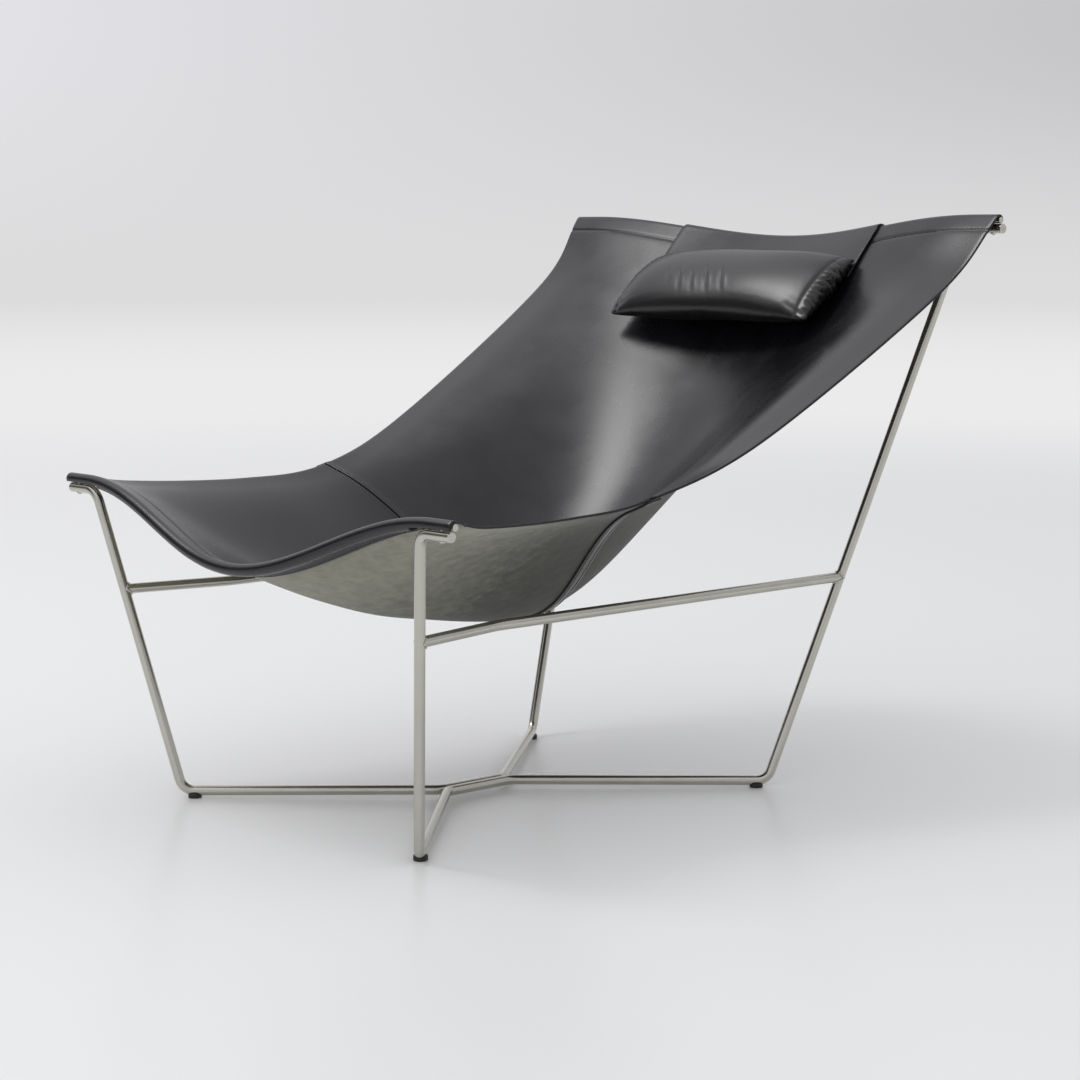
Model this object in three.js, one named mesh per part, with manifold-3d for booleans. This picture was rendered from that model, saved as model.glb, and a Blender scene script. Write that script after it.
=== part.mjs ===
// Sling lounge chair: two hides hung from a welded steel rod frame, with a counterweighted head cushion.
// Millimetres, +Z up. The sitter faces -Y, so the sitter's left is +X.

import * as THREE from 'three';
import { mergeVertices } from 'three/addons/utils/BufferGeometryUtils.js';
import Module from 'manifold-3d';

const wasm = await Module();
wasm.setup();

// Clearance between neighbouring pieces
const GAP = 0.3;

// Steel frame: one bent bar a side
const BAR_DIAMETER = 14;
const BAR_BEND_RADIUS = 22;
const FRONT_FOOT_X = 258;
const FRONT_FOOT_Y = -442;
const BACK_FOOT_X = 249;
const BACK_FOOT_Y = 211;
const SPINE_FRONT_Y = -182;
const SPINE_BACK_Y = -66;
const SPINE_LIFT = 3;
const FRONT_LEG_TOP_X = 351;
const FRONT_LEG_TOP_Y = -515;
const FRONT_HOOK_HEIGHT = 431;
const FRONT_HOOK_LENGTH = 59;
const BACK_LEG_TOP_X = 368;
const BACK_LEG_TOP_Y = 484;
const BACK_HOOK_HEIGHT = 791;
const BACK_HOOK_LENGTH = 70;
const BAR_SIDES = 12;
const BEND_STEPS = 5;

// Stretchers between the legs, bowed inward behind the front leg
const STRETCHER_FRONT_HEIGHT = 293;
const STRETCHER_BACK_HEIGHT = 298;
const STRETCHER_BEND_Y = -336;
const STRETCHER_BOW = 30;
const STRETCHER_BEND_RADIUS = 120;

// Weld bead under the spine
const WELD_BEAD_DIAMETER = 5;
const WELD_END_MARGIN = 8;

// Glides under the floor bends
const GLIDE_DIAMETER = 19;
const GLIDE_SOLE = 2.5;
const GLIDE_WRAP = 4.5;

// Hem rods
const HEM_ROD_DIAMETER = 9;
const HEM_ROD_REVEAL = 3;
const HEM_ROD_SIDES = 10;
const FRONT_HEM_BOW = 25;
const FRONT_HEM_SAG = 86.8;
const TOP_HEM_BOW = 36;
const TOP_HEM_SAG = 33.8;
const HEM_FLAT_FROM = 0.9;

// Hook screws
const SCREW_SHANK_DIAMETER = 5;
const SCREW_HEAD_DIAMETER = 9;
const SCREW_HEAD_HEIGHT = 3;
const SCREW_BITE = 5;
const SCREW_SPOT_FACE = 1.2;
const SCREW_FROM_HOOK_END = 18;

// Hides
const HIDE_THICKNESS = 3.5;
const FRONT_CORNER_X = 414;
const TOP_CORNER_X = 431;
const FRONT_HEM_TILT = 17;
const TOP_HEM_TILT = -48;
const HEM_WIDTH = 34;
const HEM_TAPER = 22;
const HEM_NOTCH_FROM = 0.75;
const HEM_LAY_GAP = 0.4;
const SEAM_GAP = 0.4;
const HIDE_COLUMNS = 24;
const SEAT_ROWS = 11;
const BACK_ROWS = 13;
const HEM_ROLL_STEPS = 8;
const HEM_ROLL_TURN = 207;

// Sling stations between the hems, front to back. Edge and centre are [y, z].
// Flare is how far the section flattens out towards its edges, from 0, a parabola, to 1.
const SLING_STATIONS = [
  { halfWidth: 390, edge: [-440, 435], centre: [-378, 297], flare: 0.75 },
  { halfWidth: 352, edge: [-265, 430], centre: [-245, 264], flare: 0.66 },
  { halfWidth: 344, edge: [-120, 443], centre: [-36, 250], flare: 0.67, seam: true },
  { halfWidth: 373, edge: [62, 511], centre: [118, 340], flare: 0.9 },
  { halfWidth: 410, edge: [377, 700], centre: [298, 532], flare: 1 },
];

// Welt under the cross seam
const WELT_WIDTH = 22;
const WELT_THICKNESS = 3;
const WELT_OVERHANG = 6;

// Headrest
const STRAP_WIDTH = 404;
const STRAP_THICKNESS = 3;
const STRAP_LAY_GAP = 0.6;
const STRAP_FRONT_ROWS = 10;
const STRAP_TUCK = 20;
const STRAP_LIFT_RUN = 60;
const STRAP_DRAW_IN = 4.5;
const STRAP_FLAT_BELOW = 21;
const STRAP_POUCH_ENTRY = 14;
const CUSHION_WIDTH = 406;
const CUSHION_HEIGHT = 150;
const CUSHION_FRONT_DEPTH = 45;
const CUSHION_BACK_DEPTH = 18;
const CUSHION_FROM_TOP = 126;
const CUSHION_LEAN = 10;
const CUSHION_OFF_HIDE = 54;
const CUSHION_CLEARANCE = 0.6;
const CUSHION_SEAM_HEIGHT = 146;
const CUSHION_SEAM_DEPTH = 8;
const CUSHION_STATIONS = 22;
const CUSHION_SIDES = 20;

// Counterweight
const POUCH_DROP = 56;
const POUCH_HEIGHT = 64;
const POUCH_WALL = 2.5;
const POUCH_CORNER_RADIUS = 8;
const WEIGHT_THICKNESS = 8;
const WEIGHT_HEIGHT = 52;

const BAR_RADIUS = BAR_DIAMETER / 2;
const HEM_ROD_RADIUS = HEM_ROD_DIAMETER / 2;
const HEM_ROLL_RADIUS = HEM_ROD_RADIUS + GAP + HIDE_THICKNESS / 2;
const FOOT_HEIGHT = GLIDE_SOLE + GAP + BAR_RADIUS;
const DEGREE = Math.PI / 180;

const steel = { color: 0xb9b7ad, roughness: 0.38, metalness: 1 };
const blackHide = { color: 0x26262a, roughness: 0.45, metalness: 0 };
const blackNylon = { color: 0x17171a, roughness: 0.6, metalness: 0 };

const vec = (x, y, z) => new THREE.Vector3(x, y, z);

// Solids and cuts
function bare(geometry) {
  const copy = geometry.clone();
  copy.deleteAttribute('normal');
  copy.deleteAttribute('uv');
  return mergeVertices(copy, 1e-4);
}

function toSolid(geometry) {
  const merged = bare(geometry);
  const vertProperties = new Float32Array(merged.attributes.position.array);
  const triVerts = new Uint32Array(merged.index.array);
  return new wasm.Manifold(new wasm.Mesh({ numProp: 3, vertProperties, triVerts }));
}

function toGeometry(solid) {
  const mesh = solid.getMesh();
  const geometry = new THREE.BufferGeometry();
  geometry.setAttribute('position', new THREE.BufferAttribute(new Float32Array(mesh.vertProperties), 3));
  geometry.setIndex(new THREE.BufferAttribute(new Uint32Array(mesh.triVerts), 1));
  return geometry;
}

function cut(geometry, ...tools) {
  const cutBy = (solid, tool) => solid.subtract(toSolid(tool));
  return toGeometry(tools.reduce(cutBy, toSolid(geometry)));
}

function upright(radius, bottom, top, x, y, sides = 16) {
  const cylinder = new THREE.CylinderGeometry(radius, radius, top - bottom, sides);
  return cylinder.rotateX(Math.PI / 2).translate(x, y, (top + bottom) / 2);
}

// A path given station by station, with the direction at each
class StationPath extends THREE.Curve {
  constructor(stations, directions) {
    super();
    this.stations = stations;
    this.directions = directions;
  }

  between(list, share, target) {
    const place = share * (list.length - 1);
    const before = Math.min(Math.floor(place), list.length - 2);
    return target.lerpVectors(list[before], list[before + 1], place - before);
  }

  getPoint(share, target = new THREE.Vector3()) {
    return this.between(this.stations, share, target);
  }

  getTangent(share, target = new THREE.Vector3()) {
    return this.between(this.directions, share, target).normalize();
  }

  getPointAt(share, target) {
    return this.getPoint(share, target);
  }

  getTangentAt(share, target) {
    return this.getTangent(share, target);
  }
}

// Straight runs between corners, joined by arcs
function bentPath(corners, bendRadius) {
  const stations = [corners[0]];
  const directions = [corners[1].clone().sub(corners[0]).normalize()];
  for (let i = 1; i < corners.length - 1; i += 1) {
    const into = corners[i].clone().sub(corners[i - 1]).normalize();
    const out = corners[i + 1].clone().sub(corners[i]).normalize();
    const turn = into.angleTo(out);
    const reach = bendRadius * Math.tan(turn / 2);
    const start = corners[i].clone().addScaledVector(into, -reach);
    const inward = out.clone().addScaledVector(into, -Math.cos(turn)).normalize();
    for (let step = 0; step <= BEND_STEPS; step += 1) {
      const angle = (turn * step) / BEND_STEPS;
      const place = start.clone().addScaledVector(into, bendRadius * Math.sin(angle));
      stations.push(place.addScaledVector(inward, bendRadius * (1 - Math.cos(angle))));
      const heading = into.clone().multiplyScalar(Math.cos(angle));
      directions.push(heading.addScaledVector(inward, Math.sin(angle)));
    }
  }
  stations.push(corners.at(-1));
  directions.push(corners.at(-1).clone().sub(corners.at(-2)).normalize());
  return new StationPath(stations, directions);
}

function roundBar(path, radius, sides) {
  const outline = [];
  for (let i = 0; i < sides; i += 1) {
    const angle = (2 * Math.PI * i) / sides;
    outline.push(new THREE.Vector2(radius * Math.cos(angle), radius * Math.sin(angle)));
  }
  const steps = path.stations.length - 1;
  return new THREE.ExtrudeGeometry(new THREE.Shape(outline), { steps, extrudePath: path, bevelEnabled: false });
}

// A sheet of even thickness on a grid of {place, normal}. Cells that keep() refuses are cut away.
function thickSheet(rows, thickness, keep = () => true) {
  const columns = rows[0].length;
  const positions = [];
  for (const side of [0.5, -0.5]) {
    for (const { place, normal } of rows.flat()) {
      positions.push(...place.clone().addScaledVector(normal, side * thickness));
    }
  }
  const under = rows.length * columns;
  const faces = [];
  const quad = (a, b, c, d) => faces.push(a, b, c, a, c, d);
  const has = (i, j) => i >= 0 && j >= 0 && i < rows.length - 1 && j < columns - 1 && keep(i, j);
  for (let i = 0; i < rows.length - 1; i += 1) {
    for (let j = 0; j < columns - 1; j += 1) {
      if (has(i, j)) {
        const a = i * columns + j;
        const b = a + 1;
        const c = b + columns;
        const d = a + columns;
        quad(a, b, c, d);
        quad(under + d, under + c, under + b, under + a);
        const wall = (from, to) => quad(to, from, under + from, under + to);
        if (!has(i - 1, j)) wall(a, b);
        if (!has(i, j + 1)) wall(b, c);
        if (!has(i + 1, j)) wall(c, d);
        if (!has(i, j - 1)) wall(d, a);
      }
    }
  }
  const geometry = new THREE.BufferGeometry();
  geometry.setAttribute('position', new THREE.Float32BufferAttribute(positions, 3));
  geometry.setIndex(faces);
  return bare(geometry.toNonIndexed());
}

// Frame bars. side is 1 for the sitter's left, -1 for the right.
function barCorners(side) {
  const spineX = BAR_RADIUS + GAP / 2;
  const spineZ = FOOT_HEIGHT + SPINE_LIFT;
  return [
    vec(side * (FRONT_LEG_TOP_X + FRONT_HOOK_LENGTH), FRONT_LEG_TOP_Y, FRONT_HOOK_HEIGHT),
    vec(side * FRONT_LEG_TOP_X, FRONT_LEG_TOP_Y, FRONT_HOOK_HEIGHT),
    vec(side * FRONT_FOOT_X, FRONT_FOOT_Y, FOOT_HEIGHT),
    vec(side * spineX, SPINE_FRONT_Y, spineZ),
    vec(side * spineX, SPINE_BACK_Y, spineZ),
    vec(side * BACK_FOOT_X, BACK_FOOT_Y, FOOT_HEIGHT),
    vec(side * BACK_LEG_TOP_X, BACK_LEG_TOP_Y, BACK_HOOK_HEIGHT),
    vec(side * (BACK_LEG_TOP_X + BACK_HOOK_LENGTH), BACK_LEG_TOP_Y, BACK_HOOK_HEIGHT),
  ];
}

function frameBar(side, radius = BAR_RADIUS) {
  return roundBar(bentPath(barCorners(side), BAR_BEND_RADIUS), radius, BAR_SIDES);
}

// Where a leg's axis passes a height
function onLeg(foot, top, height) {
  return foot.clone().lerp(top, (height - foot.z) / (top.z - foot.z));
}

function stretcher(side) {
  const corners = barCorners(side);
  const front = onLeg(corners[2], corners[1], STRETCHER_FRONT_HEIGHT);
  const back = onLeg(corners[5], corners[6], STRETCHER_BACK_HEIGHT);
  const bend = front.clone().lerp(back, (STRETCHER_BEND_Y - front.y) / (back.y - front.y));
  bend.x -= side * STRETCHER_BOW;
  const path = bentPath([front, bend, back], STRETCHER_BEND_RADIUS);
  return cut(roundBar(path, BAR_RADIUS, BAR_SIDES), frameBar(side, BAR_RADIUS + GAP));
}

function spineWeld() {
  const bead = WELD_BEAD_DIAMETER / 2;
  const apart = BAR_RADIUS + GAP / 2;
  const below = Math.sqrt((BAR_RADIUS + bead + GAP) ** 2 - apart ** 2);
  const height = FOOT_HEIGHT + SPINE_LIFT - below;
  const ends = [SPINE_FRONT_Y + WELD_END_MARGIN, SPINE_BACK_Y - WELD_END_MARGIN];
  const along = vec(0, 1, 0);
  const path = new StationPath(ends.map((y) => vec(0, y, height)), [along, along]);
  return roundBar(path, bead, 8);
}

// A glide cups the bar's floor run just inside its bend
function glide(side, end) {
  const corners = barCorners(side);
  const [foot, inner, leg] = end === 'front'
    ? [corners[2], corners[3], corners[1]]
    : [corners[5], corners[4], corners[6]];
  const run = inner.clone().sub(foot).normalize();
  const rise = leg.clone().sub(foot).normalize();
  const bendReach = BAR_BEND_RADIUS * Math.tan((Math.PI - run.angleTo(rise)) / 2);
  const place = foot.clone().addScaledVector(run, bendReach);
  const pad = upright(GLIDE_DIAMETER / 2, 0, GLIDE_SOLE + GLIDE_WRAP, place.x, place.y, 20);
  return cut(pad, frameBar(side, BAR_RADIUS + GAP));
}

// Hems. A hem's rod lies on the hooks at both ends and sags and bows outward between them.
const tilted = (degrees) => vec(0, Math.sin(degrees * DEGREE), Math.cos(degrees * DEGREE));
const aboveHook = BAR_RADIUS + GAP + HEM_ROD_RADIUS;
const frontRodZ = FRONT_HOOK_HEIGHT + aboveHook;
const topRodZ = BACK_HOOK_HEIGHT + aboveHook;

const frontHem = {
  cornerX: FRONT_CORNER_X,
  up: tilted(FRONT_HEM_TILT),
  end: vec(FRONT_CORNER_X, FRONT_LEG_TOP_Y, frontRodZ),
  middle: vec(0, FRONT_LEG_TOP_Y - FRONT_HEM_BOW, frontRodZ - FRONT_HEM_SAG),
  inward: 1,
};

const topHem = {
  cornerX: TOP_CORNER_X,
  up: tilted(TOP_HEM_TILT),
  end: vec(TOP_CORNER_X, BACK_LEG_TOP_Y, topRodZ),
  middle: vec(0, BACK_LEG_TOP_Y + TOP_HEM_BOW, topRodZ - TOP_HEM_SAG),
  inward: -1,
};

// Share of the way up from the middle of a section to its edge; across runs from -1 to 1
function rising(across, flare) {
  const flat = Math.min(1, Math.abs(across) / HEM_FLAT_FROM);
  const wave = (1 - Math.cos(Math.PI * flat)) / 2;
  return (1 - flare) * across * across + flare * wave;
}

function hemRodAt(hem, across) {
  const place = hem.middle.clone().lerp(hem.end, rising(across, 1));
  place.x = hem.cornerX * across;
  return place;
}

// Directions at a hem: along its rod, out of the hide, and from the rod into the hide
function hemAxes(hem, across) {
  const step = 1e-3;
  const along = hemRodAt(hem, across + step).sub(hemRodAt(hem, across - step)).normalize();
  const out = hem.up.clone().addScaledVector(along, -hem.up.dot(along)).normalize();
  const into = out.clone().cross(along).multiplyScalar(hem.inward);
  return { along, out, into };
}

// A point rolled round a hem's rod: out of the hide at a quarter turn, below it at three quarters
function rolledAt(hem, across, angle, radius) {
  const { out, into } = hemAxes(hem, across);
  const normal = into.multiplyScalar(Math.cos(angle)).addScaledVector(out, Math.sin(angle));
  return { place: hemRodAt(hem, across).addScaledVector(normal, radius), normal };
}

// The sling's mid surface, from the front hem at 0 to the top hem at 1
function slingEnd(hem, at) {
  return hem[at].clone().addScaledVector(hem.up, HEM_ROLL_RADIUS);
}

function alongSling(first, stations, last) {
  return new THREE.CatmullRomCurve3([first, ...stations, last], false, 'catmullrom', 0.5);
}

const edgeCurve = alongSling(
  slingEnd(frontHem, 'end'),
  SLING_STATIONS.map(({ halfWidth, edge }) => vec(halfWidth, ...edge)),
  slingEnd(topHem, 'end'),
);
const centreCurve = alongSling(
  slingEnd(frontHem, 'middle'),
  SLING_STATIONS.map(({ centre }) => vec(0, ...centre)),
  slingEnd(topHem, 'middle'),
);
const flareCurve = alongSling(
  vec(1, 0, 0),
  SLING_STATIONS.map(({ flare }) => vec(flare, 0, 0)),
  vec(1, 0, 0),
);
const seamStation = SLING_STATIONS.findIndex(({ seam }) => seam);
const SEAM = (seamStation + 1) / (SLING_STATIONS.length + 1);

function slingAt(along, across) {
  const edge = edgeCurve.getPoint(along);
  const place = centreCurve.getPoint(along).lerp(edge, rising(across, flareCurve.getPoint(along).x));
  place.x = edge.x * across;
  return place;
}

function slingRate(along, across) {
  const step = 1e-4;
  const from = Math.max(0, along - step);
  const to = Math.min(1, along + step);
  return slingAt(to, across).sub(slingAt(from, across)).divideScalar(to - from);
}

function slingPoint(along, across, offset = 0) {
  const step = 1e-3;
  const sideways = slingAt(along, across + step).sub(slingAt(along, across - step));
  const normal = sideways.cross(slingRate(along, across)).normalize();
  return { place: slingAt(along, across).addScaledVector(normal, offset), normal };
}

// A share along the sling, moved by a distance in millimetres
function moved(along, across, distance) {
  return along + distance / slingRate(along, across).length();
}

const acrossHide = [];
for (let j = 0; j <= HIDE_COLUMNS; j += 1) {
  acrossHide.push((2 * j) / HIDE_COLUMNS - 1);
}

function hemRod(hem) {
  const inside = acrossHide.map((across) => hemRodAt(hem, across));
  const tip = vec(HEM_ROD_REVEAL, 0, 0);
  const stations = [inside[0].clone().sub(tip), ...inside, inside.at(-1).clone().add(tip)];
  const headings = acrossHide.map((across) => hemAxes(hem, across).along);
  const directions = [headings[0], ...headings, headings.at(-1)];
  return roundBar(new StationPath(stations, directions), HEM_ROD_RADIUS, HEM_ROD_SIDES);
}

// A hide: its hem's sewn-down lap, the roll round the rod, then the hide itself down to the seam
function hideRows(hem, end, rowCount) {
  const rowAt = (share, distance, offset = 0) => acrossHide.map((across) => {
    return slingPoint(moved(share, across, hem.inward * distance), across, offset);
  });
  const turned = (row) => row.map(({ place, normal }) => ({ place, normal: normal.clone().negate() }));
  const layDepth = -HIDE_THICKNESS - HEM_LAY_GAP;
  const lapEdge = turned(rowAt(end, HEM_WIDTH, layDepth));
  const lapStart = turned(rowAt(end, HEM_TAPER, layDepth));
  const roll = [];
  for (let step = 0; step <= HEM_ROLL_STEPS; step += 1) {
    const angle = Math.PI / 2 + HEM_ROLL_TURN * DEGREE * (1 - step / HEM_ROLL_STEPS);
    roll.push(acrossHide.map((across) => rolledAt(hem, across, angle, HEM_ROLL_RADIUS)));
  }
  const taper = roll[0].map(({ place, normal }, j) => ({
    place: place.clone().lerp(lapStart[j].place, 0.5),
    normal: normal.clone().add(lapStart[j].normal).normalize(),
  }));
  const hide = [rowAt(end, HEM_TAPER), rowAt(end, HEM_WIDTH)];
  for (let i = 1; i < rowCount; i += 1) {
    hide.push(acrossHide.map((across) => {
      const from = moved(end, across, hem.inward * HEM_WIDTH);
      return slingPoint(from + ((SEAM - from) * i) / rowCount, across);
    }));
  }
  hide.push(rowAt(SEAM, -SEAM_GAP / 2));
  return [lapEdge, lapStart, taper, ...roll, ...hide];
}

// The lap and the lower roll are notched away at the corners, where the hooks come in
const NOTCH_ROWS = 3 + HEM_ROLL_STEPS / 2;
function keepHem(i, j) {
  const middle = Math.abs(acrossHide[j] + acrossHide[j + 1]) / 2;
  return i >= NOTCH_ROWS || middle < HEM_NOTCH_FROM;
}

function seatHide() {
  return thickSheet(hideRows(frontHem, 0, SEAT_ROWS), HIDE_THICKNESS, keepHem);
}

function backHide() {
  const rows = hideRows(topHem, 1, BACK_ROWS).map((row) => row.toReversed());
  return thickSheet(rows, HIDE_THICKNESS, keepHem);
}

function seamWelt() {
  const ends = 1 + WELT_OVERHANG / SLING_STATIONS[seamStation].halfWidth;
  const below = -HIDE_THICKNESS / 2 - GAP - WELT_THICKNESS / 2;
  const columns = [-ends, ...acrossHide, ends];
  const rowAt = (distance) => columns.map((across) => slingPoint(moved(SEAM, across, distance), across, below));
  return thickSheet([-WELT_WIDTH / 2, 0, WELT_WIDTH / 2].map(rowAt), WELT_THICKNESS);
}

// Headrest strap: up the front of the back hide, over the top hem, then drawn flat by the weight it hangs into
const strapOffset = HIDE_THICKNESS / 2 + STRAP_LAY_GAP + STRAP_THICKNESS / 2;
const strapRadius = HEM_ROLL_RADIUS + strapOffset;
const strapBackY = topHem.middle.y + strapRadius - STRAP_DRAW_IN;
const pouchTop = topHem.middle.z - POUCH_DROP;
const fromTop = (distance) => moved(1, 0, -distance);
const cushionSeat = slingPoint(fromTop(CUSHION_FROM_TOP), 0);
const cushionLean = CUSHION_LEAN * DEGREE;
const cushionReach = Math.hypot(
  (CUSHION_HEIGHT / 2) * Math.sin(cushionLean),
  CUSHION_BACK_DEPTH * Math.cos(cushionLean),
);
const strapLevel = CUSHION_OFF_HIDE - cushionReach - CUSHION_CLEARANCE - STRAP_THICKNESS / 2;

// The strap lies on the hide at its edges, and over the hollow it is drawn straight to the cushion's back
function strapPoint(along, across) {
  const { place, normal } = slingPoint(along, across, strapOffset);
  const level = place.clone().sub(cushionSeat.place).dot(cushionSeat.normal);
  const run = edgeCurve.getPoint(1).distanceTo(edgeCurve.getPoint(along));
  const lift = Math.max(0, strapLevel - level) * Math.min(1, run / STRAP_LIFT_RUN);
  return { place: place.addScaledVector(cushionSeat.normal, lift), normal };
}

function headrestStrap() {
  const half = STRAP_WIDTH / 2;
  const columnsAt = (halfWidth) => {
    const edge = half / halfWidth;
    return [-edge, ...acrossHide.filter((across) => Math.abs(across) < half / TOP_CORNER_X), edge];
  };
  const rows = [];
  const tuck = fromTop(CUSHION_FROM_TOP + STRAP_TUCK);
  for (let i = 0; i < STRAP_FRONT_ROWS; i += 1) {
    const along = tuck + ((1 - tuck) * i) / STRAP_FRONT_ROWS;
    const columns = columnsAt(edgeCurve.getPoint(along).x);
    rows.push(columns.map((across) => strapPoint(along, across)));
  }
  const front = Math.PI / 2;
  const hanging = Math.PI - TOP_HEM_TILT * DEGREE;
  for (let step = 0; step <= HEM_ROLL_STEPS; step += 1) {
    const angle = front + ((hanging - front) * step) / HEM_ROLL_STEPS;
    rows.push(columnsAt(TOP_CORNER_X).map((across) => rolledAt(topHem, across, angle, strapRadius)));
  }
  const backward = vec(0, 1, 0);
  for (const height of [topHem.middle.z - STRAP_FLAT_BELOW, pouchTop - STRAP_POUCH_ENTRY]) {
    rows.push(columnsAt(TOP_CORNER_X).map((across) => {
      return { place: vec(across * TOP_CORNER_X, strapBackY, height), normal: backward };
    }));
  }
  return thickSheet(rows, STRAP_THICKNESS);
}

// A closed form lofted through rings of equal count, with a point at each end
function loft(first, rings, last) {
  const sides = rings[0].length;
  const positions = [first, ...rings.flat(), last].flatMap((place) => [...place]);
  const faces = [];
  const at = (ring, side) => 1 + ring * sides + (side % sides);
  const end = positions.length / 3 - 1;
  for (let side = 0; side < sides; side += 1) {
    faces.push(0, at(0, side), at(0, side + 1));
    faces.push(end, at(rings.length - 1, side + 1), at(rings.length - 1, side));
    for (let ring = 0; ring < rings.length - 1; ring += 1) {
      faces.push(at(ring, side), at(ring + 1, side), at(ring + 1, side + 1));
      faces.push(at(ring, side), at(ring + 1, side + 1), at(ring, side + 1));
    }
  }
  const geometry = new THREE.BufferGeometry();
  geometry.setAttribute('position', new THREE.Float32BufferAttribute(positions, 3));
  geometry.setIndex(faces);
  return geometry;
}

// The cushion is crowned in front, flatter behind, and drawn in to a gathered seam at each end.
// It is straight, so it bridges the hollow of the back.
function headCushion() {
  const forward = cushionSeat.normal.clone().applyAxisAngle(vec(1, 0, 0), -cushionLean);
  const upward = forward.clone().cross(vec(1, 0, 0)).negate();
  const middle = cushionSeat.place.clone().addScaledVector(cushionSeat.normal, CUSHION_OFF_HIDE);
  const middleAt = (x) => middle.clone().setX(x);
  const ringAt = (share) => {
    const fullness = Math.sqrt(1 - Math.abs(share) ** 3);
    const between = (end, full) => end + (full - end) * fullness;
    const height = between(CUSHION_SEAM_HEIGHT, CUSHION_HEIGHT) / 2;
    const front = between(CUSHION_SEAM_DEPTH / 2, CUSHION_FRONT_DEPTH);
    const back = between(CUSHION_SEAM_DEPTH / 2, CUSHION_BACK_DEPTH);
    const ring = [];
    for (let side = 0; side < CUSHION_SIDES; side += 1) {
      const angle = (2 * Math.PI * side) / CUSHION_SIDES;
      const depth = Math.sin(angle) > 0 ? front : back;
      const place = middleAt((share * CUSHION_WIDTH) / 2);
      place.addScaledVector(upward, height * Math.cos(angle));
      ring.push(place.addScaledVector(forward, depth * Math.sin(angle)));
    }
    return ring;
  };
  const rings = [];
  for (let i = 0; i <= CUSHION_STATIONS; i += 1) {
    rings.push(ringAt(Math.sin(Math.PI * (i / CUSHION_STATIONS - 0.5))));
  }
  return loft(middleAt(-CUSHION_WIDTH / 2), rings, middleAt(CUSHION_WIDTH / 2));
}

// A flat panel across the chair, with round corners: width along X, height along Z, depth along Y
function panel(width, bottom, top, frontY, backY, radius) {
  const half = width / 2;
  const outline = new THREE.Shape();
  outline.moveTo(-half + radius, bottom);
  outline.lineTo(half - radius, bottom);
  outline.absarc(half - radius, bottom + radius, radius, -Math.PI / 2, 0, false);
  outline.lineTo(half, top);
  outline.lineTo(-half, top);
  outline.lineTo(-half, bottom + radius);
  outline.absarc(-half + radius, bottom + radius, radius, Math.PI, 1.5 * Math.PI, false);
  const settings = { depth: backY - frontY, bevelEnabled: false, curveSegments: 4 };
  return new THREE.ExtrudeGeometry(outline, settings).rotateX(Math.PI / 2).translate(0, backY, 0);
}

const slotFrontY = strapBackY - STRAP_THICKNESS / 2 - GAP;
const weightFrontY = strapBackY + STRAP_THICKNESS / 2 + GAP;
const slotBackY = weightFrontY + WEIGHT_THICKNESS + GAP;
const slotWidth = STRAP_WIDTH + 2 * GAP;
const slotBottom = pouchTop - POUCH_HEIGHT + POUCH_WALL;
const pouchWidth = slotWidth + 2 * POUCH_WALL;

function counterweightPouch() {
  const bottom = slotBottom - POUCH_WALL;
  const frontY = slotFrontY - POUCH_WALL;
  const backY = slotBackY + POUCH_WALL;
  const outside = panel(pouchWidth, bottom, pouchTop, frontY, backY, POUCH_CORNER_RADIUS);
  const mouth = pouchTop + POUCH_WALL;
  const inside = panel(slotWidth, slotBottom, mouth, slotFrontY, slotBackY, POUCH_CORNER_RADIUS - POUCH_WALL);
  return cut(outside, inside);
}

function counterweightBar() {
  const bottom = slotBottom + GAP;
  const backY = weightFrontY + WEIGHT_THICKNESS;
  const radius = POUCH_CORNER_RADIUS - POUCH_WALL;
  return panel(STRAP_WIDTH, bottom, bottom + WEIGHT_HEIGHT, weightFrontY, backY, radius);
}

// Hook screws: each goes up through a spot-faced hole in its hook and into the hem rod
const hooks = {
  front: { end: FRONT_LEG_TOP_X + FRONT_HOOK_LENGTH, y: FRONT_LEG_TOP_Y, z: FRONT_HOOK_HEIGHT },
  back: { end: BACK_LEG_TOP_X + BACK_HOOK_LENGTH, y: BACK_LEG_TOP_Y, z: BACK_HOOK_HEIGHT },
};
const screwX = (side, hook) => side * (hook.end - SCREW_FROM_HOOK_END);
const screwSeat = (hook) => hook.z - BAR_RADIUS + SCREW_SPOT_FACE;
const screwTip = (hook) => hook.z + BAR_RADIUS + GAP + SCREW_BITE;

function hookScrew(side, hook) {
  const head = SCREW_HEAD_DIAMETER / 2;
  const shank = SCREW_SHANK_DIAMETER / 2;
  const seat = screwSeat(hook) - GAP;
  const profile = [
    [0, seat - SCREW_HEAD_HEIGHT],
    [head * 0.6, seat - SCREW_HEAD_HEIGHT],
    [head, seat - SCREW_HEAD_HEIGHT / 2],
    [head, seat],
    [shank, seat],
    [shank, screwTip(hook)],
    [0, screwTip(hook)],
  ].map(([radius, height]) => new THREE.Vector2(radius, height));
  const turned = new THREE.LatheGeometry(profile, 16).rotateX(Math.PI / 2);
  return turned.translate(screwX(side, hook), hook.y, 0);
}

function screwHole(side, hook) {
  const bottom = hook.z - 2 * BAR_RADIUS;
  const top = screwTip(hook) + GAP;
  return upright(SCREW_SHANK_DIAMETER / 2 + GAP, bottom, top, screwX(side, hook), hook.y);
}

function spotFace(side, hook) {
  const bottom = hook.z - 2 * BAR_RADIUS;
  return upright(SCREW_HEAD_DIAMETER / 2 + GAP, bottom, screwSeat(hook), screwX(side, hook), hook.y);
}

function drilledBar(side) {
  const holes = Object.values(hooks).flatMap((hook) => [screwHole(side, hook), spotFace(side, hook)]);
  return cut(frameBar(side), ...holes);
}

function drilledHemRod(hem, hook) {
  return cut(hemRod(hem), screwHole(1, hook), screwHole(-1, hook));
}

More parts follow.
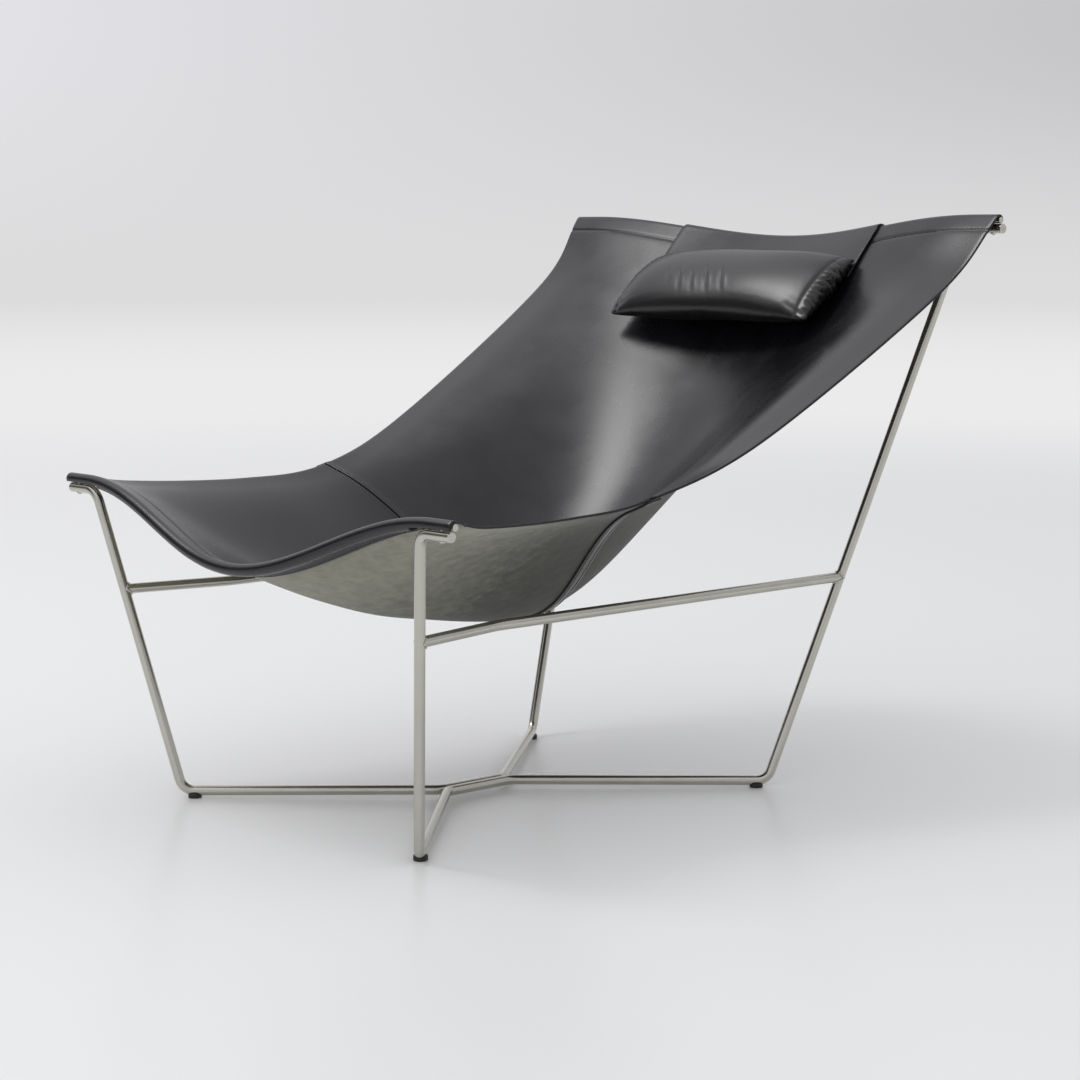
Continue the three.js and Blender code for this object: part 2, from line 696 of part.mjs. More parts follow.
// The chair, piece by piece
const chair = new THREE.Group();

function add(name, geometry, finish) {
  const mesh = new THREE.Mesh(geometry, new THREE.MeshStandardMaterial(finish));
  mesh.name = name;
  chair.add(mesh);
}

for (const [hand, side] of [['left', 1], ['right', -1]]) {
  add(`frame_bar_${hand}`, drilledBar(side), steel);
  add(`stretcher_${hand}`, stretcher(side), steel);
  for (const end of ['front', 'back']) {
    add(`glide_${end}_${hand}`, glide(side, end), blackNylon);
    add(`hook_screw_${end}_${hand}`, hookScrew(side, hooks[end]), steel);
  }
}
add('spine_weld', spineWeld(), steel);
add('front_hem_rod', drilledHemRod(frontHem, hooks.front), steel);
add('top_hem_rod', drilledHemRod(topHem, hooks.back), steel);
add('seat_hide', seatHide(), blackHide);
add('back_hide', backHide(), blackHide);
add('seam_welt', seamWelt(), blackHide);
add('headrest_strap', headrestStrap(), blackHide);
add('head_cushion', headCushion(), blackHide);
add('counterweight_pouch', counterweightPouch(), blackHide);
add('counterweight_bar', counterweightBar(), steel);

// The origin lies on the floor under the middle of the chair
const box = new THREE.Box3().setFromObject(chair, true);
chair.position.y = -(box.min.y + box.max.y) / 2;

export default chair;
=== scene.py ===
# A sling lounge chair: two black hides hung from a bent steel frame, with a counterweighted head cushion.
# Lengths are in millimetres until a mesh is made, and in metres in shaders and lamps.
# The sitter faces -Y, and the sitter's left is +X.

import math

import bmesh
import bpy
import numpy as np
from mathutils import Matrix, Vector


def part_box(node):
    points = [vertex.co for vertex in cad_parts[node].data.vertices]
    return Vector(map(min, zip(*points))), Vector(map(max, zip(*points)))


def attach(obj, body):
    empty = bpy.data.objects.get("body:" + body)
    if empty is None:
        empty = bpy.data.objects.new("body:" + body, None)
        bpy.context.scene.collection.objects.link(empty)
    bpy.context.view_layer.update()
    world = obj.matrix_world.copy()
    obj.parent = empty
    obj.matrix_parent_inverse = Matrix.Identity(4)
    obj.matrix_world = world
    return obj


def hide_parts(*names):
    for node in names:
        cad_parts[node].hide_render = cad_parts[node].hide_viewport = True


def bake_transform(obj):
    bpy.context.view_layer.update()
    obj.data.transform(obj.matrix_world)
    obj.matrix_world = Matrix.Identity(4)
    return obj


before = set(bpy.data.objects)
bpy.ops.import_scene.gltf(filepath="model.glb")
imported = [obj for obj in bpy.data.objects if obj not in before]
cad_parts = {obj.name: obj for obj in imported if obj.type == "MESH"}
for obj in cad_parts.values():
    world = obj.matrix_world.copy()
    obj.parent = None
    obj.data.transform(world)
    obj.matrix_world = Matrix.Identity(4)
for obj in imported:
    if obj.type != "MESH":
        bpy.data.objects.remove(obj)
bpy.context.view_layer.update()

# Frame bars
# One 14 mm stainless bar a side, bent cold: hook, front leg, floor run, spine, floor run, back leg, hook.
# The two lie back to back along the spine, where they are welded, and the frame has a satin finish.
MM = 0.001
BAR_RADIUS = 7
BEND_RADIUS = 22
BEND_STEPS = 10
BAR_SIDES = 28
BAR_CHAMFER = 1.2
JOIN_GAP = 0.3
SIDES = {"left": 1, "right": -1}
FOOT_HEIGHT = 9.8
SPINE_LIFT = 3
SPINE_FRONT_Y = -182
SPINE_BACK_Y = -66
FRONT_FOOT = (258, -442)
BACK_FOOT = (249, 211)
FRONT_LEG_TOP = (351, -515, 431)
BACK_LEG_TOP = (368, 484, 791)
FRONT_HOOK_LENGTH = 59
BACK_HOOK_LENGTH = 70
SCREW_FROM_HOOK_END = 18
SPOT_FACE_RADIUS = 4.8
SPOT_FACE_DEPTH = 1.2
SPOT_FACE_SIDES = 24
SHARP_ANGLE = math.radians(40)

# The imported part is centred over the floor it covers, and the middle of the spine says where that is
spine_low, spine_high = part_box("spine_weld")
shift_y = (spine_low[1] + spine_high[1]) / 2 / MM - (SPINE_FRONT_Y + SPINE_BACK_Y) / 2


def in_frame(points):
    return (np.asarray(points, float) + [0, shift_y, 0]) * MM


def linear(colour):
    channels = [int(colour[i : i + 2], 16) / 255 for i in (1, 3, 5)]
    lit = [c / 12.92 if c <= 0.04045 else ((c + 0.055) / 1.055) ** 2.4 for c in channels]
    return (*lit, 1)


def set_inputs(material, node, inputs):
    """Each input is a value, a socket to link, or a node whose first output is linked."""
    for socket, value in inputs.items():
        if isinstance(value, bpy.types.Node):
            value = value.outputs[0]
        if isinstance(value, bpy.types.NodeSocket):
            material.node_tree.links.new(value, node.inputs[socket])
        else:
            node.inputs[socket].default_value = value


def add_node(material, kind, inputs=None, stops=(), **settings):
    """A node with its settings and links. A colour ramp starts with two stops, and more are added."""
    node = material.node_tree.nodes.new(kind)
    for name, value in settings.items():
        setattr(node, name, value)
    for i, (place, colour) in enumerate(stops):
        stop = node.color_ramp.elements[i] if i < 2 else node.color_ramp.elements.new(place)
        stop.position = place
        stop.color = linear(colour)
    set_inputs(material, node, inputs or {})
    return node


def new_material(name):
    material = bpy.data.materials.new(name)
    material.use_nodes = True
    where = add_node(material, "ShaderNodeTexCoord").outputs["Object"]
    return material, material.node_tree.nodes["Principled BSDF"], where


def per_metre(size):
    return 1 / (size * MM)


# Stainless steel, satin: an abrasive pad's fine hatching blurs what it reflects, and hands dull it.
# The hatching is drawn at 0.9 mm, much coarser than the real one, so that it shows.
STEEL_GRIT = 0.9
STEEL_CLOUD = 60
satin_steel, shader, where = new_material("satin stainless steel")
grit = add_node(
    satin_steel, "ShaderNodeTexNoise", {"Vector": where, "Scale": per_metre(STEEL_GRIT), "Detail": 3}
)
cloud = add_node(
    satin_steel, "ShaderNodeTexNoise", {"Vector": where, "Scale": per_metre(STEEL_CLOUD), "Detail": 4}
)
steel_tones = [(0.35, "#bdbbb2"), (0.7, "#c4c2b9")]
tint = add_node(satin_steel, "ShaderNodeValToRGB", {"Fac": cloud}, steel_tones)
dulled = add_node(
    satin_steel,
    "ShaderNodeMapRange",
    {"Value": cloud, "From Min": 0.3, "From Max": 0.7, "To Min": 0.17, "To Max": 0.23},
)
scratched = add_node(
    satin_steel, "ShaderNodeBump", {"Height": grit, "Strength": 0.05, "Distance": 0.05 * MM}
)
set_inputs(satin_steel, shader, {
    "Metallic": 1,
    "Base Color": tint,
    "Roughness": dulled,
    "Normal": scratched,
})


def unit(vectors):
    vectors = np.asarray(vectors, float)
    return vectors / np.linalg.norm(vectors, axis=-1, keepdims=True)


def full_turn(count):
    return np.linspace(0, 2 * math.pi, count, endpoint=False)


def bent_path(corners, bend_radius):
    corners = np.asarray(corners, float)
    path = [corners[0]]
    for before, corner, after in zip(corners, corners[1:], corners[2:]):
        heading = unit(corner - before)
        leaving = unit(after - corner)
        turn = math.acos(heading @ leaving)
        start = corner - heading * bend_radius * math.tan(turn / 2)
        inward = unit(leaving - heading * math.cos(turn))
        for angle in np.linspace(0, turn, BEND_STEPS + 1):
            path.append(start + bend_radius * (heading * math.sin(angle) + inward * (1 - math.cos(angle))))
    return np.array([*path, corners[-1]])


# A direction that no piece here runs along, from which the rings of a swept piece start
ASKEW = (0.31, 0.17, 0.94)


def swept_rings(path, radii, sides):
    path = np.asarray(path, float)
    radii = np.broadcast_to(radii, len(path))
    ahead = unit(np.gradient(path, axis=0))
    side = unit(np.cross(ahead[0], ASKEW))
    angles = full_turn(sides)[:, None]
    rings = []
    for place, heading, radius in zip(path, ahead, radii):
        side = unit(side - heading * (side @ heading))
        up = np.cross(heading, side)
        rings.append(place + radius * (np.cos(angles) * side + np.sin(angles) * up))
    return np.array(rings)


def chamfered(path, radius, chamfer):
    head = unit(path[1] - path[0]) * chamfer
    tail = unit(path[-2] - path[-1]) * chamfer
    longer = np.array([path[0], path[0] + head, *path[1:-1], path[-1] + tail, path[-1]])
    radii = np.full(len(longer), float(radius))
    radii[[0, -1]] -= chamfer
    return longer, radii


def ring_faces(rings, sides):
    faces = []
    for i in range(rings - 1):
        for j in range(sides):
            right = (j + 1) % sides
            faces.append((i * sides + j, i * sides + right, (i + 1) * sides + right, (i + 1) * sides + j))
    faces.append(tuple(reversed(range(sides))))
    faces.append(tuple((rings - 1) * sides + j for j in range(sides)))
    return faces


def new_piece(name, points, faces, finishes, body):
    mesh = bpy.data.meshes.new(name)
    mesh.from_pydata(in_frame(points).tolist(), [], faces)
    for finish in finishes:
        mesh.materials.append(finish)
    piece = bpy.data.objects.new(name, mesh)
    bpy.context.collection.objects.link(piece)
    if body:
        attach(piece, body)
    return piece


def smoothed(piece, angle=SHARP_ANGLE):
    mesh = piece.data
    mesh.polygons.foreach_set("use_smooth", [True] * len(mesh.polygons))
    mesh.set_sharp_from_angle(angle=angle)
    return piece


def face_outward(piece):
    shell = bmesh.new()
    shell.from_mesh(piece.data)
    bmesh.ops.recalc_face_normals(shell, faces=shell.faces)
    shell.to_mesh(piece.data)
    shell.free()
    return piece


def round_piece(name, path, radii, sides, finish, body):
    rings = swept_rings(path, radii, sides)
    faces = ring_faces(len(rings), sides)
    return smoothed(face_outward(new_piece(name, rings.reshape(-1, 3), faces, [finish], body)))


def settle(piece):
    shown = bpy.data.meshes.new_from_object(piece.evaluated_get(bpy.context.evaluated_depsgraph_get()))
    piece.modifiers.clear()
    piece.data = shown
    return piece


def cut_away(piece, tool):
    cut = piece.modifiers.new("cut", "BOOLEAN")
    cut.operation = "DIFFERENCE"
    cut.solver = "EXACT"
    cut.object = tool
    settle(piece)
    bpy.data.objects.remove(tool)
    return piece


# Where each bend of a bar comes in its list of corners, which starts and ends at the tips of the hooks
FRONT_TOP, FRONT_BEND, SPINE_FRONT, SPINE_BACK, BACK_BEND, BACK_TOP = range(1, 7)


def bar_corners(side):
    spine_x = BAR_RADIUS + JOIN_GAP / 2
    spine_z = FOOT_HEIGHT + SPINE_LIFT
    front_x, front_y, front_z = FRONT_LEG_TOP
    back_x, back_y, back_z = BACK_LEG_TOP
    corners = [
        (front_x + FRONT_HOOK_LENGTH, front_y, front_z),
        FRONT_LEG_TOP,
        (*FRONT_FOOT, FOOT_HEIGHT),
        (spine_x, SPINE_FRONT_Y, spine_z),
        (spine_x, SPINE_BACK_Y, spine_z),
        (*BACK_FOOT, FOOT_HEIGHT),
        BACK_LEG_TOP,
        (back_x + BACK_HOOK_LENGTH, back_y, back_z),
    ]
    return np.array(corners) * [side, 1, 1]


def screw_places(side):
    corners = bar_corners(side)
    inward = np.array([side * SCREW_FROM_HOOK_END, 0, 0])
    return {"front": corners[0] - inward, "back": corners[-1] - inward}


for hand, side in SIDES.items():
    path, radii = chamfered(bent_path(bar_corners(side), BEND_RADIUS), BAR_RADIUS, BAR_CHAMFER)
    bar = round_piece(f"bent_bar_{hand}", path, radii, BAR_SIDES, satin_steel, "chair")
    for place in screw_places(side).values():
        seat = place - [0, 0, BAR_RADIUS - SPOT_FACE_DEPTH]
        bore = [seat - [0, 0, BAR_RADIUS], seat]
        drill = round_piece("drill", bore, SPOT_FACE_RADIUS, SPOT_FACE_SIDES, satin_steel, None)
        cut_away(bar, drill)
    smoothed(bar)
    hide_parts(f"frame_bar_{hand}")

# Stretchers
# The same bar, bent in behind the front leg and coped to both legs of its side.
# A thin fillet weld runs round each end, left as laid.
STRETCHER_FRONT_Z = 293
STRETCHER_BACK_Z = 298
STRETCHER_BEND_Y = -336
STRETCHER_BOW = 30
STRETCHER_BEND_RADIUS = 120
STRETCHER_COPE = 0.6
FILLET = 1.7
FILLET_SINK = 0.3
FILLET_RIPPLES = 19
FILLET_RIPPLE_DEPTH = 0.1
FILLET_POINTS = 76
FILLET_SIDES = 10


def on_leg(foot, top, height):
    return foot + (top - foot) * (height - foot[2]) / (top[2] - foot[2])


def fillet_weld(name, at, heading, leg):
    """A bead where a bar leaving a leg's axis at a point, towards heading, meets the leg's skin."""
    up = unit(np.cross(heading, np.cross(leg, heading)))
    across = np.cross(heading, up)
    skin = BAR_RADIUS + FILLET * FILLET_SINK
    turns = full_turn(FILLET_POINTS)
    ring = []
    for turn in turns:
        start = at + skin * (up * math.cos(turn) + across * math.sin(turn))
        flat = heading - leg * (heading @ leg)
        away = (start - at) - leg * ((start - at) @ leg)
        a, b, c = flat @ flat, 2 * flat @ away, away @ away - skin**2
        reach = (-b + math.sqrt(max(0, b * b - 4 * a * c))) / (2 * a)
        ring.append(start + heading * reach)
    ring = np.array(ring)
    ahead = unit(np.roll(ring, -1, axis=0) - np.roll(ring, 1, axis=0))
    out = unit(ring - at - np.sum((ring - at) * ahead, axis=1)[:, None] * ahead)
    aside = np.cross(ahead, out)
    size = FILLET * (1 + FILLET_RIPPLE_DEPTH * np.sin(turns * FILLET_RIPPLES))[:, None, None]
    round_it = full_turn(FILLET_SIDES)[None, :, None]
    points = ring[:, None] + size * (np.cos(round_it) * out[:, None] + np.sin(round_it) * aside[:, None])
    faces = []
    for i in range(FILLET_POINTS):
        first = i * FILLET_SIDES
        second = (i + 1) % FILLET_POINTS * FILLET_SIDES
        for j in range(FILLET_SIDES):
            right = (j + 1) % FILLET_SIDES
            faces.append((first + j, first + right, second + right, second + j))
    return smoothed(face_outward(new_piece(name, points.reshape(-1, 3), faces, [satin_steel], "chair")))


for hand, side in SIDES.items():
    corners = bar_corners(side)
    front = on_leg(corners[FRONT_BEND], corners[FRONT_TOP], STRETCHER_FRONT_Z)
    back = on_leg(corners[BACK_BEND], corners[BACK_TOP], STRETCHER_BACK_Z)
    bend = front + (back - front) * (STRETCHER_BEND_Y - front[1]) / (back[1] - front[1])
    bend[0] -= side * STRETCHER_BOW
    path = bent_path([front, bend, back], STRETCHER_BEND_RADIUS)
    path[0] += unit(path[1] - path[0]) * BAR_RADIUS * STRETCHER_COPE
    path[-1] += unit(path[-2] - path[-1]) * BAR_RADIUS * STRETCHER_COPE
    stretcher = round_piece(f"leg_stretcher_{hand}", path, BAR_RADIUS, BAR_SIDES, satin_steel, "chair")
    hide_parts(f"stretcher_{hand}")
    ends = {
        "front": (front, unit(bend - front), unit(corners[FRONT_TOP] - corners[FRONT_BEND])),
        "back": (back, unit(bend - back), unit(corners[BACK_TOP] - corners[BACK_BEND])),
    }
    for end, (at, heading, leg) in ends.items():
        bead = fillet_weld(f"fillet_{end}_{hand}", at, heading, leg)

# Spine weld
# A run of weld in the groove under the spine holds the two bars together.
# Its even ripples are the stops of the torch.
BEAD_RADIUS = 2.5
BEAD_MARGIN = 8
BEAD_PITCH = 2.5
BEAD_STEP = BEAD_PITCH / 4
BEAD_RIPPLE = 0.06
BEAD_SIDES = 14


def row_of(x, y, z):
    return np.stack(np.broadcast_arrays(x, y, z), axis=-1)


bead_below = math.sqrt((BAR_RADIUS + BEAD_RADIUS + JOIN_GAP) ** 2 - (BAR_RADIUS + JOIN_GAP / 2) ** 2)
bead_z = FOOT_HEIGHT + SPINE_LIFT - bead_below
bead_end = SPINE_BACK_Y - BEAD_MARGIN + BEAD_STEP / 2
bead_y = np.arange(SPINE_FRONT_Y + BEAD_MARGIN, bead_end, BEAD_STEP)
bead_path = row_of(0.0, bead_y, bead_z)
bead_radii = BEAD_RADIUS * (1 - BEAD_RIPPLE + BEAD_RIPPLE * np.cos(2 * math.pi * bead_y / BEAD_PITCH))
bead_radii[[0, -1]] = BEAD_RADIUS / 2
spine_bead = round_piece("spine_bead", bead_path, bead_radii, BEAD_SIDES, satin_steel, "chair")
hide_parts("spine_weld")

# Glides
# A moulded black nylon cup sits under each floor bend, so the steel doesn't mark the floor.
# It is hollowed to the bar's round, and its foot is eased.
GLIDE_RADIUS = 9.5
GLIDE_TOP = 7
GLIDE_ROUND = 1.2
GLIDE_ROUND_MIDWAY = 0.3 * GLIDE_ROUND
GLIDE_SIDES = 40
NYLON_PIT = 0.6
# Nylon, moulded: the fine pits of a spark-eroded mould give it a soft dull sheen.
# They are drawn at 0.6 mm, coarser than the real ones.
glide_nylon, shader, where = new_material("moulded black nylon")
mould = add_node(
    glide_nylon, "ShaderNodeTexNoise", {"Vector": where, "Scale": per_metre(NYLON_PIT), "Detail": 2}
)
pitted = add_node(
    glide_nylon, "ShaderNodeBump", {"Height": mould, "Strength": 0.25, "Distance": 0.1 * MM}
)
set_inputs(glide_nylon, shader, {
    "Base Color": linear("#1b1b1c"),
    "Roughness": 0.55,
    "IOR": 1.53,
    "Normal": pitted,
})

for hand, side in SIDES.items():
    corners = bar_corners(side)
    runs = {"front": (FRONT_BEND, SPINE_FRONT, FRONT_TOP), "back": (BACK_BEND, SPINE_BACK, BACK_TOP)}
    for end, places in runs.items():
        foot, inner, leg = corners[list(places)]
        run = unit(inner - foot)
        turn = math.pi - math.acos(run @ unit(leg - foot))
        place = foot + run * BEND_RADIUS * math.tan(turn / 2)
        heights = [0, GLIDE_ROUND_MIDWAY, GLIDE_ROUND, GLIDE_TOP - GLIDE_ROUND / 2, GLIDE_TOP]
        radii = GLIDE_RADIUS - np.array([GLIDE_ROUND, GLIDE_ROUND_MIDWAY, 0, 0, GLIDE_ROUND / 2])
        path = row_of(place[0], place[1], heights)
        glide = round_piece(f"glide_cup_{end}_{hand}", path, radii, GLIDE_SIDES, glide_nylon, "chair")
        bar_path = bent_path(corners, BEND_RADIUS)
        bed_radius = BAR_RADIUS + JOIN_GAP / 2
        cut_away(glide, round_piece("bar_bed", bar_path, bed_radius, BAR_SIDES, glide_nylon, None))
        smoothed(glide)
        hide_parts(f"glide_{end}_{hand}")

# Hem rods
# A 9 mm rod runs in each hem, formed to the sling's sag, and its ends lie on the hooks.
# It is cut square, with the burr broken.
HEM_ROD_RADIUS = 4.5
HEM_ROD_REVEAL = 3
HEM_ROD_CHAMFER = 0.8
HEM_ROD_SIDES = 20
HEM_ROD_POINTS = 97
FRONT_HEM_TILT = 17
TOP_HEM_TILT = -48
HEM_FLAT_FROM = 0.9
ROD_ABOVE_HOOK = BAR_RADIUS + JOIN_GAP + HEM_ROD_RADIUS


def leaning(degrees):
    return np.array([0, math.sin(math.radians(degrees)), math.cos(math.radians(degrees))])


FRONT_HEM = {
    "half": 414, "leg": FRONT_LEG_TOP, "bow": -25, "sag": 86.8, "up": leaning(FRONT_HEM_TILT), "inward": 1
}
TOP_HEM = {
    "half": 431, "leg": BACK_LEG_TOP, "bow": 36, "sag": 33.8, "up": leaning(TOP_HEM_TILT), "inward": -1
}


def rising(across, flare):
    flat = np.minimum(1, np.abs(across) / HEM_FLAT_FROM)
    return (1 - flare) * across**2 + flare * (1 - np.cos(math.pi * flat)) / 2


def hem_end(hem, at_corner):
    _, leg_y, leg_z = hem["leg"]
    if at_corner:
        return np.array([hem["half"], leg_y, leg_z + ROD_ABOVE_HOOK])
    return np.array([0, leg_y + hem["bow"], leg_z + ROD_ABOVE_HOOK - hem["sag"]])


def hem_rod_at(hem, across):
    middle, corner = hem_end(hem, False), hem_end(hem, True)
    place = middle + (corner - middle) * rising(across, 1)[..., None]
    place[..., 0] = hem["half"] * across
    return place


hem_across = np.linspace(-1, 1, HEM_ROD_POINTS)
hem_rods = [("hem_rod_front", FRONT_HEM, "front_hem_rod"), ("hem_rod_top", TOP_HEM, "top_hem_rod")]
for name, hem, node in hem_rods:
    inside = hem_rod_at(hem, hem_across)
    tip = np.array([HEM_ROD_REVEAL, 0, 0])
    path, radii = chamfered([inside[0] - tip, *inside, inside[-1] + tip], HEM_ROD_RADIUS, HEM_ROD_CHAMFER)
    rod = round_piece(name, path, radii, HEM_ROD_SIDES, satin_steel, "chair")
    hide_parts(node)

# Hides
# Two thick vegetable-tanned hides, dyed black through the grain, make the seat and the back.
# Each is turned under round its rod and sewn down, with the hem cut away where the hooks come in.
HIDE_THICKNESS = 3.5
HEM_ROLL_RADIUS = HEM_ROD_RADIUS + JOIN_GAP + HIDE_THICKNESS / 2
HEM_WIDTH = 34
HEM_TAPER = 22
HEM_STITCH = 28
STITCH_GROOVE = 1.1
STITCH_GROOVE_HALF = 6
HEM_ROLL_TURN = math.radians(207)
HEM_LAY_GAP = 0.4
HEM_LAY = HIDE_THICKNESS + HEM_LAY_GAP
HEM_NOTCH = 0.81
SEAM_GAP = 0.4
COLUMNS = 120
SEAT_ROWS = 66
BACK_ROWS = 80
LAP_ROWS = 9
ROLL_ROWS_END = (3, 7, 12, 17, 20)
SEAM_ROWS = (11, 8, 5.5, 3.5, 1.8, SEAM_GAP / 2)
ROLL_STEPS = 18
HEM_CUT_STEP = 6
SEAM_LAP = 14
SEAM_STEP = 1.6
TAPER_ROWS = 7
SHARE_STEP = 1e-4
ACROSS_STEP = 1e-3
# Half width, edge (y, z), centre (y, z) and flare of the sling's sections between the hems, front to back
SECTIONS = [
    (390, (-440, 435), (-378, 297), 0.75),
    (352, (-265, 430), (-245, 264), 0.66),
    (344, (-120, 443), (-36, 250), 0.67),
    (373, (62, 511), (118, 340), 0.9),
    (410, (377, 700), (298, 532), 1),
]
SEAM = 3 / (len(SECTIONS) + 1)
hem_lift = {"front": FRONT_HEM["up"] * HEM_ROLL_RADIUS, "top": TOP_HEM["up"] * HEM_ROLL_RADIUS}
edge_points = np.array([
    hem_end(FRONT_HEM, True) + hem_lift["front"],
    *[(half, *edge) for half, edge, _, _ in SECTIONS],
    hem_end(TOP_HEM, True) + hem_lift["top"],
])
centre_points = np.array([
    hem_end(FRONT_HEM, False) + hem_lift["front"],
    *[(0, *centre) for _, _, centre, _ in SECTIONS],
    hem_end(TOP_HEM, False) + hem_lift["top"],
])
flare_points = np.array([1, *[flare for _, _, _, flare in SECTIONS], 1])[:, None]


def along_curve(points, share):
    extended = np.vstack([2 * points[0] - points[1], points, 2 * points[-1] - points[-2]])
    place = np.clip(share, 0, 1) * (len(points) - 1)
    first = np.minimum(place.astype(int), len(points) - 2)
    t = (place - first)[..., None]
    p0, p1, p2, p3 = (extended[first + i] for i in range(4))
    rate_in, rate_out = (p2 - p0) / 2, (p3 - p1) / 2
    bend = 3 * (p2 - p1) - 2 * rate_in - rate_out
    return p1 + rate_in * t + bend * t**2 + (2 * (p1 - p2) + rate_in + rate_out) * t**3


def paired(share, across):
    return np.broadcast_arrays(np.asarray(share, float), np.asarray(across, float))


def sling_at(share, across):
    share, across = paired(share, across)
    edge = along_curve(edge_points, share)
    centre = along_curve(centre_points, share)
    flare = along_curve(flare_points, share)[..., 0]
    place = centre + (edge - centre) * rising(across, flare)[..., None]
    place[..., 0] = edge[..., 0] * across
    return place


def sling_rate(share, across):
    low, high = np.maximum(0, share - SHARE_STEP), np.minimum(1, share + SHARE_STEP)
    return (sling_at(high, across) - sling_at(low, across)) / (high - low)[..., None]


def sling_point(share, across, offset=0.0):
    share, across = paired(share, across)
    sideways = sling_at(share, across + ACROSS_STEP) - sling_at(share, across - ACROSS_STEP)
    normal = unit(np.cross(sideways, sling_rate(share, across)))
    return sling_at(share, across) + normal * np.asarray(offset, float)[..., None], normal


def moved(share, across, distance):
    share, across = paired(share, across)
    return share + distance / np.linalg.norm(sling_rate(share, across), axis=-1)


def rolled_at(hem, across, angle, radius):
    ahead = unit(hem_rod_at(hem, across + ACROSS_STEP) - hem_rod_at(hem, across - ACROSS_STEP))
    out = unit(hem["up"] - ahead * (ahead @ hem["up"])[..., None])
    into = np.cross(out, ahead) * hem["inward"]
    normal = into * math.cos(angle) + out * math.sin(angle)
    return hem_rod_at(hem, across) + normal * radius


def smooth_step(share):
    share = np.clip(share, 0, 1)
    return share**2 * (3 - 2 * share)


def seam_rise(distance, step):
    return step * smooth_step(1 - distance / SEAM_LAP)


def stitch_groove(distance):
    return STITCH_GROOVE * smooth_step(1 - abs(distance - HEM_STITCH) / STITCH_GROOVE_HALF)


def eased_between(t, start, stop, leaving, arriving):
    """A point part of the way along a curve that has a given heading at each end."""
    span = np.linalg.norm(stop - start, axis=1)[:, None]
    drawn = (2 * t**3 - 3 * t**2 + 1) * start + (3 * t**2 - 2 * t**3) * stop
    return drawn + span * ((t**3 - 2 * t**2 + t) * leaving + (t**3 - t**2) * arriving)


def hide_rows(hem, end, across, row_count, step):
    """Rows of a hide's middle layer: the lap, the roll round the rod, then the hide down to the seam."""
    inward = hem["inward"]

    def row_at(distance, offset=0.0):
        return sling_point(moved(end, across, inward * distance), across, offset)[0]

    roll = [
        rolled_at(hem, across, math.pi / 2 + HEM_ROLL_TURN * (1 - i / ROLL_STEPS), HEM_ROLL_RADIUS)
        for i in range(ROLL_STEPS + 1)
    ]
    laid = np.linspace(HEM_WIDTH, HEM_TAPER, LAP_ROWS)
    lap = [row_at(distance, -HEM_LAY - stitch_groove(distance)) for distance in laid]
    leaving = unit(lap[-1] - lap[-2])
    arriving = unit(roll[1] - roll[0])
    shares = np.linspace(0, 1, TAPER_ROWS)[1:-1]
    taper = [eased_between(t, lap[-1], roll[0], leaving, arriving) for t in shares]
    near = [row_at(distance) for distance in ROLL_ROWS_END]
    near += [row_at(distance, -stitch_groove(distance)) for distance in reversed(laid)]
    start = moved(end, across, inward * HEM_WIDTH)
    stop = moved(SEAM, across, -inward * SEAM_LAP)
    body = [sling_point(start + (stop - start) * i / row_count, across)[0] for i in range(1, row_count + 1)]
    sewn_edge = [
        sling_point(moved(SEAM, across, -inward * distance), across, seam_rise(distance, step))[0]
        for distance in SEAM_ROWS
    ]
    rows = np.array([*lap, *taper, *roll, *near, *body, *sewn_edge])
    cut_rows = len(lap) + len(taper) + HEM_CUT_STEP
    return rows, cut_rows


def sheet_faces(rows, columns, kept):
    faces = []
    for i in range(rows - 1):
        for j in range(columns - 1):
            if kept is None or kept(i, j):
                a = i * columns + j
                faces.append((a, a + 1, a + columns + 1, a + columns))
    return faces


# Leather, grain side: a tight pebble of about a millimetre, waxed and polished by use, with a soft shine.
# The pebble is drawn at 1.6 mm, a little coarse, so that it shows.
GRAIN_PEBBLE = 1.6
GRAIN_CLOUD = 60
grain_leather, shader, where = new_material("black grain leather")
pebble = add_node(
    grain_leather,
    "ShaderNodeTexVoronoi",
    {"Vector": where, "Scale": per_metre(GRAIN_PEBBLE), "Randomness": 1},
    feature="SMOOTH_F1",
)
cloud = add_node(
    grain_leather, "ShaderNodeTexNoise", {"Vector": where, "Scale": per_metre(GRAIN_CLOUD), "Detail": 6}
)
grain_tones = [(0.35, "#0c0c10"), (0.7, "#131318")]
tint = add_node(grain_leather, "ShaderNodeValToRGB", {"Fac": cloud}, grain_tones)
shine = add_node(
    grain_leather,
    "ShaderNodeMapRange",
    {"Value": cloud, "From Min": 0.3, "From Max": 0.7, "To Min": 0.24, "To Max": 0.31},
)
grained = add_node(
    grain_leather, "ShaderNodeBump", {"Height": pebble, "Strength": 0.08, "Distance": 0.15 * MM}
)
set_inputs(grain_leather, shader, {"IOR": 1.5, "Base Color": tint, "Roughness": shine, "Normal": grained})

